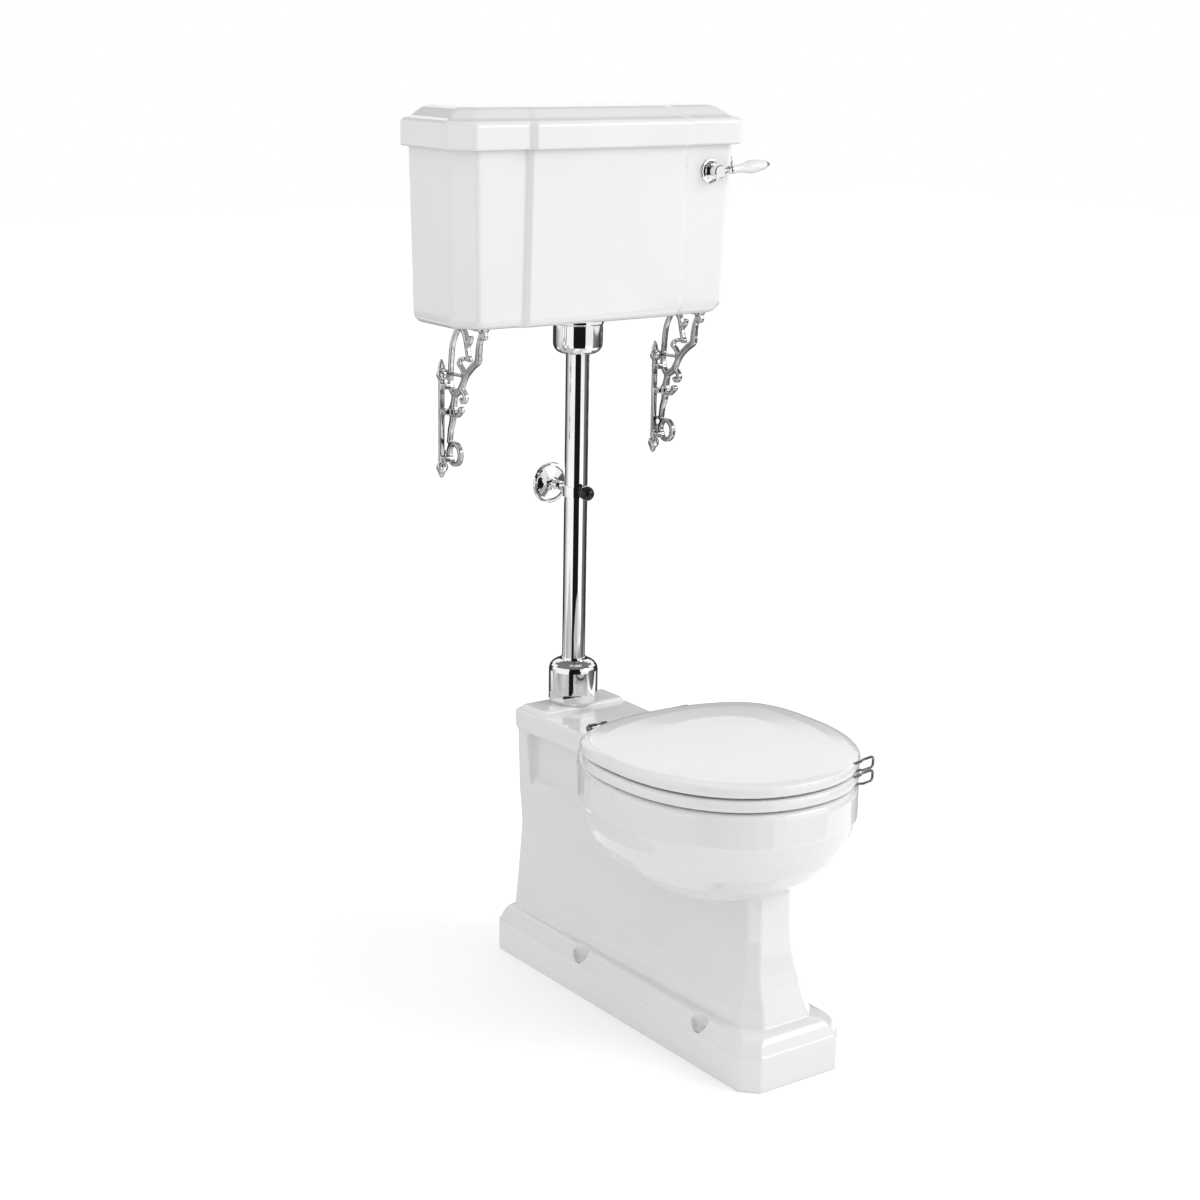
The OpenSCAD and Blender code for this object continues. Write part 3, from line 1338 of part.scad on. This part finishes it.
module seat_arms() {
    x0 = hinge_x + eye_half + arm_gap;
    color(chrome) both() hinge_arm(x0, x0 + arm_w, seat_high - arm_t, seat_high);
}

module lid_arms() {
    x1 = hinge_x - eye_half - arm_gap;
    color(chrome) both() hinge_arm(x1 - arm_w, x1, lid_low, lid_low + arm_t);
}

module hinge_posts() {
    color(chrome) both() difference() {
        union() {
            up(hinge_x, -hinge_y, rim_h, rim_h + hinge_foot_t, hinge_foot_r);
            up(hinge_x, -hinge_y, rim_h, hinge_z - 2, hinge_neck_r);
            up(hinge_x, -hinge_y, stud_hole_z + 2, rim_h + over, stud_r);
            along_x(hinge_x - eye_half, hinge_x + eye_half, -hinge_y, hinge_z, barrel_r);
        }
        along_x(hinge_x - eye_half - 10, hinge_x + eye_half + 10, -hinge_y, hinge_z, pin_r + push_gap / 2);
    }
}

module hinge_pins() {
    side = eye_half + arm_gap + arm_w + rest_gap;
    color(chrome) both() {
        along_x(hinge_x - side - over, hinge_x + side + over, -hinge_y, hinge_z, pin_r);
        along_x(hinge_x - side - 3, hinge_x - side, -hinge_y, hinge_z, pin_r + 1.5);
        along_x(hinge_x + side, hinge_x + side + 3, -hinge_y, hinge_z, pin_r + 1.5);
    }
}

module hinge_nuts() {
    color(steel) both() difference() {
        up(hinge_x, -hinge_y, rim_h - sleeve_long, rim_h, stud_hole_r - push_gap);
        up(hinge_x, -hinge_y, rim_h - sleeve_long - over, rim_h + over, stud_r + push_gap);
    }
}

pan();
flush_cone();
bell_nut();
pipe_bell();
flush_pipe();
coupling_nut();
coupling_seal();
coupling_flange();
cistern();
siphon_washer();
siphon_body();
fill_valve();
fill_washer();
fill_nut();
fill_tube();
lever_bush();
lever_rosette();
lever_nut();
left_bracket();
right_bracket();
bracket_screws();
tank_screws();
clip_plate();
clip_stem();
clip_band();
clip_ball();
hinge_posts();
hinge_pins();
hinge_nuts();
seat_ring();
seat_arms();
seat_buffers();
seat_handle();
seat_lid();
lid_arms();
lid_buffers();
lid_handle();
lever_spindle();
lever_hub();
lever_grip();
lever_tip();
lever_arm();
lift_rod();
lift_hook();
siphon_plate();
siphon_flap();
float_arm_rod();
float_ball();
float_nut();
cistern_lid();
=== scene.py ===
"""Looks for the medium level toilet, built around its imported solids. Lengths are in metres."""

import json
import math

import bmesh
import bpy
from mathutils import Matrix, Vector


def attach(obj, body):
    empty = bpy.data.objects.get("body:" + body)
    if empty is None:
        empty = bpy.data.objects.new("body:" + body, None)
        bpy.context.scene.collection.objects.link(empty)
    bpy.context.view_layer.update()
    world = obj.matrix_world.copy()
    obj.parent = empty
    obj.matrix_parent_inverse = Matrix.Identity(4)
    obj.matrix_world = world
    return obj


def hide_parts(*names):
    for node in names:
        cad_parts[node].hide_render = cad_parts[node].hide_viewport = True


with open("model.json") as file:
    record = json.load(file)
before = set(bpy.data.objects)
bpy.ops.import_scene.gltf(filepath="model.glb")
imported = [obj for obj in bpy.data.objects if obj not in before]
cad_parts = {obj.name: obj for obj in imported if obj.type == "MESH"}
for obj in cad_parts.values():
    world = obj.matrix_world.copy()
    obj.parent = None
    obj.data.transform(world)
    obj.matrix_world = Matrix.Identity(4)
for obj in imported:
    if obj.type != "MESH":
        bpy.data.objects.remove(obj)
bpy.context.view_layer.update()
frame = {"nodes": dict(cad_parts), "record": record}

MM = 0.001
WHITE = (1.0, 1.0, 1.0, 1.0)

# The camera, found from the photograph's vanishing lines. Angles in radians.
PHOTO_SIDE = 1200
FOCAL_PIXELS = 2284
SENSOR = 36.0
FARTHEST = 60.0
YAW = 0.628
PITCH = 0.254
ROLL = 0.017
EYE = Vector((-1.946, -2.817, 1.446))

# How finely each fired, painted, cast or bent shape is remade, and in how many passes its edges are
# rounded. Corners of a solid that lie closer than WELD are joined first.
WELD = 0.01 * MM
SOFTNESS = 0.5
CERAMIC_GRAIN = 2.0 * MM
CERAMIC_PASSES = 4
BOARD_GRAIN = 1.5 * MM
BOARD_PASSES = 4
CAST_GRAIN = 1.1 * MM
CAST_PASSES = 5
LOOP_GRAIN = 0.5 * MM
LOOP_PASSES = 6

# The pan's plinth and the moulding over it. The spine is the line along y that the plinth lies round, the
# lean is the share of a straight slope in the moulding's arc, and faces more level than UPRIGHT_ENOUGH
# belong to no side of it.
PLINTH_TOP = 51 * MM
PLINTH_SPINE = (-0.57, -0.06)
MOULDING_RISE = 24 * MM
MOULDING_IN = 18 * MM
MOULDING_LEAN = 0.42
ARRIS = 1.0 * MM
UPRIGHT_ENOUGH = 0.05

# The sockets of the floor screws: their places along y, the least x and the heights that hold them, the
# half length that is drawn out in full, how far the drawing reaches, and by what share it lengthens.
SOCKETS_AT = (-0.215, -0.505)
SOCKET_INSIDE = 73 * MM
SOCKET_LOW = 48 * MM
SOCKET_HIGH = 90 * MM
SOCKET_HALF = 8 * MM
SOCKET_REACH = 24 * MM
SOCKET_DRAWN = 0.6

# The egg shape of bowl, seat and lid, and its two back shoulders, as angles from the egg's middle.
BOWL_MIDDLE = -0.425
BOWL_HALF = 182 * MM
BOWL_BACK = 220 * MM
SEAT_BACK = 162 * MM
SHOULDER_AT = math.radians(36)
SHOULDER_SPREAD = math.radians(20)
EVERY_HEIGHT = (-1.0, -0.5)
BOWL_SHOULDER_HEIGHTS = (0.285, 0.325)

# The studio: how strongly the white room fills, the soft lamp, and the floor.
ROOM_FILL = 0.84
KEY_POWER = 50.0
KEY_SIDE = 2.4
KEY_PLACE = (2.2, -3.2, 3.0)
KEY_AIM = (0.0, -0.2, 0.7)
FLOOR_SIDE = 24.0
FLOOR_GLOW = 0.19

# The cards that stand round the flush pipe: name, the angles of the two sides in degrees, distance, the
# greys at the two sides, lowest and highest point.
UPRIGHT_CARDS = (
    ("camera_card", -18.4, 35.0, 1.25, 0.01, 0.01, -0.3, 2.2),
    ("right_card", 72.0, 122.0, 1.5, 0.25, 0.02, 0.0, 0.78),
    ("back_card", 122.0, 238.0, 1.1, 0.04, 0.04, 0.0, 0.83),
    ("left_card", 238.0, 282.0, 1.5, 0.12, 1.0, 0.0, 0.78),
    ("low_left_card", 282.0, 325.0, 1.45, 0.35, 0.75, 0.0, 0.13),
    ("low_right_card", 35.0, 72.0, 1.45, 0.8, 0.35, 0.0, 0.13),
)

# The cards that lie level: name, grey, width, depth, place.
LEVEL_CARDS = (
    ("left_mat", 0.6, 1.8, 2.4, (-1.25, 0.1, 1 * MM)),
    ("back_mat", 0.25, 2.4, 2.0, (0.75, 1.05, 1 * MM)),
    ("ceiling_card", 0.2, 5.0, 5.0, (0.0, 0.0, 2.5)),
)


class Value:
    """A value in a shader tree. Sums and products of values add Math nodes."""

    def __init__(self, shades, socket):
        self.shades = shades
        self.socket = socket

    def math(self, operation, first, second):
        return self.shades.node("ShaderNodeMath", {"operation": operation}, {0: first, 1: second})

    def __add__(self, other):
        return self.math("ADD", self, other)

    def __radd__(self, other):
        return self.math("ADD", other, self)

    def __sub__(self, other):
        return self.math("SUBTRACT", self, other)

    def __rsub__(self, other):
        return self.math("SUBTRACT", other, self)

    def __mul__(self, other):
        return self.math("MULTIPLY", self, other)

    def __rmul__(self, other):
        return self.math("MULTIPLY", other, self)


class Shades:
    """A shader tree. Every node in it comes from node()."""

    def __init__(self, owner):
        owner.use_nodes = True
        self.owner = owner
        self.tree = owner.node_tree
        self.tree.nodes.clear()

    def node(self, kind, settings=None, sockets=None, out=0):
        made = self.tree.nodes.new(kind)
        for name, setting in (settings or {}).items():
            setattr(made, name, setting)
        for key, value in (sockets or {}).items():
            if isinstance(value, Value):
                self.tree.links.new(value.socket, made.inputs[key])
            else:
                made.inputs[key].default_value = value
        return Value(self, made.outputs[out]) if made.outputs else None

    def noise(self, scale, detail=2.0):
        sockets = {"Vector": self.node("ShaderNodeTexCoord", out="Object"), "Scale": scale, "Detail": detail}
        return self.node("ShaderNodeTexNoise", None, sockets)

    def spread(self, value, low, high):
        """The value from low to high, drawn out to the whole of 0 to 1."""
        sockets = {"Value": value, "From Min": low, "From Max": high}
        return self.node("ShaderNodeMapRange", None, sockets)

    def blend(self, share, first, second):
        """A colour between two colours. A Mix node keeps its colours in sockets 6 and 7."""
        sockets = {0: share, 6: first, 7: second}
        return self.node("ShaderNodeMix", {"data_type": "RGBA"}, sockets, out=2)

    def bump(self, height, strength, distance):
        sockets = {"Strength": strength, "Distance": distance, "Height": height}
        return self.node("ShaderNodeBump", None, sockets)


def grey(level, warmth=0.0):
    """A near grey colour; warmth above 0 leans to yellow and below 0 to blue."""
    return (level * (1 + warmth), level, level * (1 - warmth), 1.0)


def finish(name, surface):
    """A material whose main shader takes the sockets that surface works out."""
    shades = Shades(bpy.data.materials.new(name))
    shader = shades.node("ShaderNodeBsdfPrincipled", None, surface(shades))
    shades.node("ShaderNodeOutputMaterial", None, {"Surface": shader})
    return shades.owner


# Finishes


def glaze(shades):
    """Fired white glaze: a slow drift of tone, a faint ripple and fine specks of duller gloss."""
    drift = shades.noise(5.0, 3.0)
    speck = shades.spread(shades.noise(240.0, 1.0), 0.62, 0.75)
    ripple = shades.noise(38.0, 2.0)
    return {
        "Base Color": shades.blend(shades.spread(drift, 0.3, 0.7), grey(0.83, 0.002), grey(0.87, -0.003)),
        "Roughness": 0.05 + 0.05 * drift + 0.10 * speck,
        "Normal": shades.bump(ripple, 0.10, 0.4 * MM),
        "IOR": 1.52,
        "Coat Weight": 0.3,
        "Coat Roughness": 0.03,
    }


def board(shades):
    """Sprayed white paint on a moulded board, a little softer in gloss than the glaze."""
    drift = shades.noise(7.0, 3.0)
    peel = shades.noise(420.0, 2.0)
    return {
        "Base Color": shades.blend(shades.spread(drift, 0.3, 0.7), grey(0.84, 0.001), grey(0.88, -0.003)),
        "Roughness": 0.10 + 0.08 * drift + 0.04 * peel,
        "Normal": shades.bump(peel, 0.12, 0.15 * MM),
        "IOR": 1.48,
        "Coat Weight": 0.35,
        "Coat Roughness": 0.06,
    }


def chrome(shades):
    """Bright chrome plate with faint wiping marks."""
    smear = shades.noise(60.0, 4.0)
    patch = shades.noise(14.0, 2.0)
    return {
        "Base Color": shades.blend(shades.spread(patch, 0.3, 0.7), grey(0.82, -0.010), grey(0.92, -0.004)),
        "Metallic": 1.0,
        "Roughness": 0.02 + 0.05 * smear,
        "Normal": shades.bump(smear, 0.05, 0.05 * MM),
    }


def cast_chrome_painted_dark_reflection(shades):
    """Chrome over polished castings, painted dark: the sand cast skin still shows a little under the plate.
    """
    skin = shades.noise(320.0, 3.0)
    patch = shades.noise(34.0, 3.0)
    return {
        # The dark mottled greys are painted reflection of a dark studio; the mottling itself varies at
        # random.
        "Base Color": shades.blend(shades.spread(patch, 0.35, 0.7), grey(0.42, -0.01), grey(0.70, -0.006)),
        "Metallic": 1.0,
        "Roughness": 0.09 + 0.12 * patch,
        "Normal": shades.bump(skin, 0.16, 0.25 * MM),
    }


def wire_chrome_painted_dark_reflection(shades):
    """Chrome of the wire loops, the hinges and the lever's tip, painted darker than on large pieces."""
    smear = shades.noise(220.0, 2.0)
    patch = shades.noise(60.0, 2.0)
    return {
        # The dark greys are painted reflection, standing in for the dark studio that thin chrome mirrors.
        "Base Color": shades.blend(shades.spread(patch, 0.3, 0.7), grey(0.16, -0.01), grey(0.34, -0.006)),
        "Metallic": 1.0,
        "Roughness": 0.08 + 0.08 * smear,
        "Normal": shades.bump(smear, 0.1, 0.1 * MM),
    }


def black_chrome(shades):
    """The nearly black, polished plate of the clip's ball screw."""
    smear = shades.noise(180.0, 2.0)
    return {
        "Base Color": shades.blend(smear, grey(0.015), grey(0.035)),
        "Metallic": 0.6,
        "Roughness": 0.05 + 0.08 * smear,
        "Normal": shades.bump(smear, 0.08, 0.05 * MM),
    }


def rubber(shades):
    """Black moulded rubber with a fine matt skin."""
    skin = shades.noise(500.0, 2.0)
    bloom = shades.noise(40.0, 3.0)
    return {
        "Base Color": shades.blend(bloom, grey(0.016), grey(0.045, 0.02)),
        "Roughness": 0.52 + 0.25 * bloom,
        "Normal": shades.bump(skin, 0.3, 0.15 * MM),
    }


def plastic(shades):
    """Moulded off white plastic."""
    drift = shades.noise(20.0, 2.0)
    grain = shades.noise(700.0, 1.0)
    return {
        "Base Color": shades.blend(drift, grey(0.62, 0.02), grey(0.72, 0.03)),
        "Roughness": 0.28 + 0.14 * drift,
        "Normal": shades.bump(grain, 0.15, 0.08 * MM),
    }


def brass(shades):
    """Turned brass, dulled unevenly by water."""
    tarnish = shades.spread(shades.noise(45.0, 4.0), 0.35, 0.7)
    grain = shades.noise(900.0, 1.0)
    return {
        "Base Color": shades.blend(tarnish, (0.62, 0.42, 0.15, 1), (0.38, 0.24, 0.10, 1)),
        "Metallic": 1.0,
        "Roughness": 0.20 + 0.25 * tarnish,
        "Normal": shades.bump(grain, 0.1, 0.05 * MM),
    }


def steel(shades):
    """Bright stainless steel with the marks of the tool that turned it."""
    marks = shades.noise(260.0, 3.0)
    return {
        "Base Color": shades.blend(marks, grey(0.48), grey(0.60, 0.01)),
        "Metallic": 1.0,
        "Roughness": 0.18 + 0.2 * marks,
        "Normal": shades.bump(marks, 0.08, 0.08 * MM),
    }


FINISHES = {
    "glaze": finish("white_glaze", glaze),
    "board": finish("white_paint", board),
    "chrome": finish("bright_chrome", chrome),
    "cast": finish("cast_chrome_painted_dark_reflection", cast_chrome_painted_dark_reflection),
    "wire": finish("wire_chrome_painted_dark_reflection", wire_chrome_painted_dark_reflection),
    "ball": finish("black_chrome", black_chrome),
    "rubber": finish("black_rubber", rubber),
    "plastic": finish("pale_plastic", plastic),
    "brass": finish("dull_brass", brass),
    "steel": finish("turned_steel", steel),
}


# Which body each node belongs to, and which slot its finish comes from.
BODY_OF = {node: body for body, nodes in frame["record"]["behaviour"]["bodies"].items() for node in nodes}
SLOT_OF = {part["node"]: part["material_slot"] for part in frame["record"]["subparts"]}


def wear(piece, finish_name):
    """Gives a piece one finish in place of what it had."""
    piece.data.materials.clear()
    piece.data.materials.append(FINISHES[finish_name])


def settle(piece):
    """Turns a piece's modifiers into its own mesh."""
    graph = bpy.context.evaluated_depsgraph_get()
    made = bpy.data.meshes.new_from_object(piece.evaluated_get(graph))
    piece.modifiers.clear()
    piece.data = made
    piece.data.name = piece.name


def stand_for(piece, node, finish_name):
    """A finished piece takes a node's place on the node's own body."""
    wear(piece, finish_name)
    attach(piece, BODY_OF[node])
    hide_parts(node)


def soften(node, name, grain, passes, finish_name):
    """Remakes a solid in even small faces and rounds its edges as glaze, paint or polish does."""
    piece = bpy.data.objects.new(name, frame["nodes"][node].data.copy())
    bpy.context.scene.collection.objects.link(piece)
    welded = bmesh.new()
    welded.from_mesh(piece.data)
    bmesh.ops.remove_doubles(welded, verts=welded.verts, dist=WELD)
    welded.to_mesh(piece.data)
    welded.free()
    even = piece.modifiers.new("even", "REMESH")
    even.mode = "VOXEL"
    even.voxel_size = grain
    even.use_smooth_shade = True
    soft = piece.modifiers.new("soft", "SMOOTH")
    soft.factor = SOFTNESS
    soft.iterations = passes
    settle(piece)
    for face in piece.data.polygons:
        face.use_smooth = True
    stand_for(piece, node, finish_name)
    return piece


def ease(share):
    """0 to 1, slow at both ends."""
    share = min(max(share, 0.0), 1.0)
    return share * share * (3 - 2 * share)


def settle_moulding(pan):
    """The moulding over the plinth starts at a clear arris and leans in from there, as a flat arc."""
    facings = [vertex.normal.copy() for vertex in pan.data.vertices]
    for vertex, facing in zip(pan.data.vertices, facings):
        rise = (vertex.co.z - PLINTH_TOP) / MOULDING_RISE
        if not 0.0 < rise < 1.0:
            continue
        outward = Vector((facing.x, facing.y, 0.0))
        spine = Vector((0.0, min(max(vertex.co.y, PLINTH_SPINE[0]), PLINTH_SPINE[1]), 0.0))
        if outward.length < UPRIGHT_ENOUGH or outward.dot(vertex.co - spine) < 0.0:
            continue
        round_in = 1 - math.sqrt(1 - rise * rise)
        lean_in = MOULDING_LEAN * (rise - round_in)
        vertex.co -= outward.normalized() * (MOULDING_IN * lean_in + ARRIS * (1 - rise))


def widen_sockets(pan):
    """The floor screws' sockets are drawn out along the plinth."""
    for vertex in pan.data.vertices:
        if not (SOCKET_INSIDE < abs(vertex.co.x) and SOCKET_LOW < vertex.co.z < SOCKET_HIGH):
            continue
        for middle in SOCKETS_AT:
            along = vertex.co.y - middle
            if abs(along) < SOCKET_REACH:
                share = 1 - ease((abs(along) - SOCKET_HALF) / (SOCKET_REACH - SOCKET_HALF))
                vertex.co.y = middle + along * (1 + SOCKET_DRAWN * share)


def press_shoulders(piece, back, shift, inner, heights=EVERY_HEIGHT):
    """Moves an egg shape out, or in where shift is negative, at its two back shoulders. Back is the egg's
    reach behind its middle. Only what lies past the share inner of its size moves, and the move grows
    from the first to the second of the heights."""
    low, high = heights
    facing = Vector((math.cos(SHOULDER_AT), math.sin(SHOULDER_AT), 0.0))
    for vertex in piece.data.vertices:
        across = abs(vertex.co.x) / BOWL_HALF
        along = (vertex.co.y - BOWL_MIDDLE) / back
        if along < 0.0:
            continue
        off = (math.atan2(along, across) - SHOULDER_AT) / SHOULDER_SPREAD
        reach = ease((math.hypot(across, along) - inner) / (1 - inner))
        share = math.exp(-off * off) * reach * ease((vertex.co.z - low) / (high - low))
        side = 1.0 if vertex.co.x > 0 else -1.0
        vertex.co += Vector((facing.x * side, facing.y, 0.0)) * (shift * share)


# Glazed, painted and cast pieces

pan = soften("pan", "glazed_pan", CERAMIC_GRAIN, CERAMIC_PASSES, "glaze")
settle_moulding(pan)
widen_sockets(pan)
press_shoulders(pan, BOWL_BACK, -9 * MM, 0.8, BOWL_SHOULDER_HEIGHTS)
soften("cistern", "glazed_cistern", CERAMIC_GRAIN, CERAMIC_PASSES, "glaze")
soften("cistern_lid", "glazed_cistern_lid", CERAMIC_GRAIN, CERAMIC_PASSES, "glaze")
ring = soften("seat_ring", "painted_ring", BOARD_GRAIN, BOARD_PASSES, "board")
press_shoulders(ring, SEAT_BACK, 4.5 * MM, 0.75)
lid = soften("seat_lid", "painted_lid", BOARD_GRAIN, BOARD_PASSES, "board")
press_shoulders(lid, SEAT_BACK, 9 * MM, 0.3)
for side in ("left", "right"):
    soften(side + "_bracket", side + "_casting", CAST_GRAIN, CAST_PASSES, "cast")
for part in ("seat", "lid"):
    soften(part + "_handle", part + "_loop", LOOP_GRAIN, LOOP_PASSES, "wire")

# The solids that keep their own shape take their slot's finish, apart from these.

OWN_FINISH = {
    "lever_grip": "glaze",
    "clip_ball": "ball",
    "hinge_pins": "wire",
    "seat_arms": "wire",
    "lid_arms": "wire",
    "lever_tip": "wire",
    "fill_nut": "chrome",
}

for node, piece in frame["nodes"].items():
    wear(piece, OWN_FINISH.get(node, SLOT_OF[node]))


# Camera


def stand_camera():
    ahead = Vector((math.sin(YAW) * math.cos(PITCH), math.cos(YAW) * math.cos(PITCH), -math.sin(PITCH)))
    level = Vector((math.cos(YAW), -math.sin(YAW), 0.0))
    upright = level.cross(ahead)
    right = level * math.cos(ROLL) + upright * math.sin(ROLL)
    up = upright * math.cos(ROLL) - level * math.sin(ROLL)
    lens = bpy.data.cameras.new("photograph")
    lens.sensor_width = SENSOR
    lens.lens = FOCAL_PIXELS / PHOTO_SIDE * SENSOR
    lens.clip_end = FARTHEST
    camera = bpy.data.objects.new("photograph", lens)
    bpy.context.scene.collection.objects.link(camera)
    turn = Matrix((right, up, -ahead)).transposed().to_4x4()
    turn.translation = EYE
    camera.matrix_world = turn
    bpy.context.scene.camera = camera


# Studio: a white room, one large soft lamp, and cards that show only in reflections.


def seen(shades):
    """1 for rays that reach the eye straight, off a gloss or through glass, else 0."""
    names = ("Is Camera Ray", "Is Glossy Ray", "Is Transmission Ray")
    rays = [shades.node("ShaderNodeLightPath", out=name) for name in names]
    return rays[0] + rays[1] + rays[2]


def room(strength):
    shades = Shades(bpy.data.worlds.new("room"))
    fill = shades.node("ShaderNodeBackground", None, {"Color": WHITE, "Strength": strength})
    shown = shades.node("ShaderNodeBackground", None, {"Color": WHITE, "Strength": 1.0})
    both = shades.node("ShaderNodeMixShader", None, {0: seen(shades), 1: fill, 2: shown})
    shades.node("ShaderNodeOutputWorld", None, {"Surface": both})
    bpy.context.scene.world = shades.owner


def sheet(name, width, height, material, place, turn=(0.0, 0.0, 0.0)):
    """A flat card of the studio, which isn't part of the object."""
    mesh = bpy.data.meshes.new(name)
    corners = [(x * width / 2, y * height / 2, 0.0) for x, y in ((-1, -1), (1, -1), (1, 1), (-1, 1))]
    mesh.from_pydata(corners, [], [(0, 1, 2, 3)])
    mesh.materials.append(material)
    card = bpy.data.objects.new(name, mesh)
    bpy.context.scene.collection.objects.link(card)
    card.location = place
    card.rotation_euler = turn
    return card


def floor_finish():
    """White paper. The eye sees it a little brighter than it lights the object, so that it ends in white."""
    shades = Shades(bpy.data.materials.new("floor"))
    tone = shades.blend(shades.noise(1.5), grey(0.88), grey(0.90))
    paper = shades.node("ShaderNodeBsdfDiffuse", None, {"Color": tone})
    white = shades.node("ShaderNodeBsdfDiffuse", None, {"Color": grey(0.98)})
    glow = shades.node("ShaderNodeEmission", None, {"Color": WHITE, "Strength": FLOOR_GLOW})
    bright = shades.node("ShaderNodeAddShader", None, {0: white, 1: glow})
    both = shades.node("ShaderNodeMixShader", None, {0: seen(shades), 1: paper, 2: bright})
    shades.node("ShaderNodeOutputMaterial", None, {"Surface": both})
    return shades.owner


def card_finish(first, last, width):
    """A glow that turns evenly from one grey to another across a card. It isn't sampled as a lamp, because
    the cards light nothing."""
    shades = Shades(bpy.data.materials.new("card"))
    across = shades.node("ShaderNodeSeparateXYZ", None, {0: shades.node("ShaderNodeTexCoord", out="Object")})
    share = shades.spread(across, -width / 2, width / 2)
    tone = shades.blend(share, grey(first), grey(last))
    dull = shades.node("ShaderNodeEmission", None, {"Color": tone, "Strength": 1.0})
    shades.node("ShaderNodeOutputMaterial", None, {"Surface": dull})
    shades.owner.cycles.emission_sampling = "NONE"
    return shades.owner


def only_in_gloss(card):
    """The card shows in reflections and nowhere else."""
    card.visible_camera = False
    card.visible_diffuse = False
    card.visible_transmission = False
    card.visible_shadow = False


def upright_card(name, start, end, reach, first, last, low, high):
    """A card that stands round the flush pipe. Start and end are its sides' angles from the camera as
    the pipe sees them, in degrees, and first and last are the greys at those sides."""
    swing = math.radians((start + end) / 2)
    toward = math.atan2(EYE.y, EYE.x) + swing
    place = (reach * math.cos(toward), reach * math.sin(toward), (low + high) / 2)
    width = 2 * reach * math.tan(math.radians(end - start) / 2)
    turn = (math.pi / 2, 0.0, toward + math.pi / 2)
    only_in_gloss(sheet(name, width, high - low, card_finish(first, last, width), place, turn))


def level_card(name, level, width, depth, place):
    only_in_gloss(sheet(name, width, depth, card_finish(level, level, width), place, (0.0, 0.0, -YAW)))


def lamp(name, power, side, place, aim):
    light = bpy.data.lights.new(name, "AREA")
    light.energy = power
    light.size = side
    holder = bpy.data.objects.new(name, light)
    bpy.context.scene.collection.objects.link(holder)
    holder.location = place
    holder.rotation_euler = (Vector(aim) - Vector(place)).to_track_quat("-Z", "Y").to_euler()


bpy.context.scene.view_settings.view_transform = "Standard"
stand_camera()
room(ROOM_FILL)
sheet("floor", FLOOR_SIDE, FLOOR_SIDE, floor_finish(), (0.0, 0.0, 0.0))
lamp("key", KEY_POWER, KEY_SIDE, KEY_PLACE, KEY_AIM)
for card in UPRIGHT_CARDS:
    upright_card(*card)
for card in LEVEL_CARDS:
    level_card(*card)
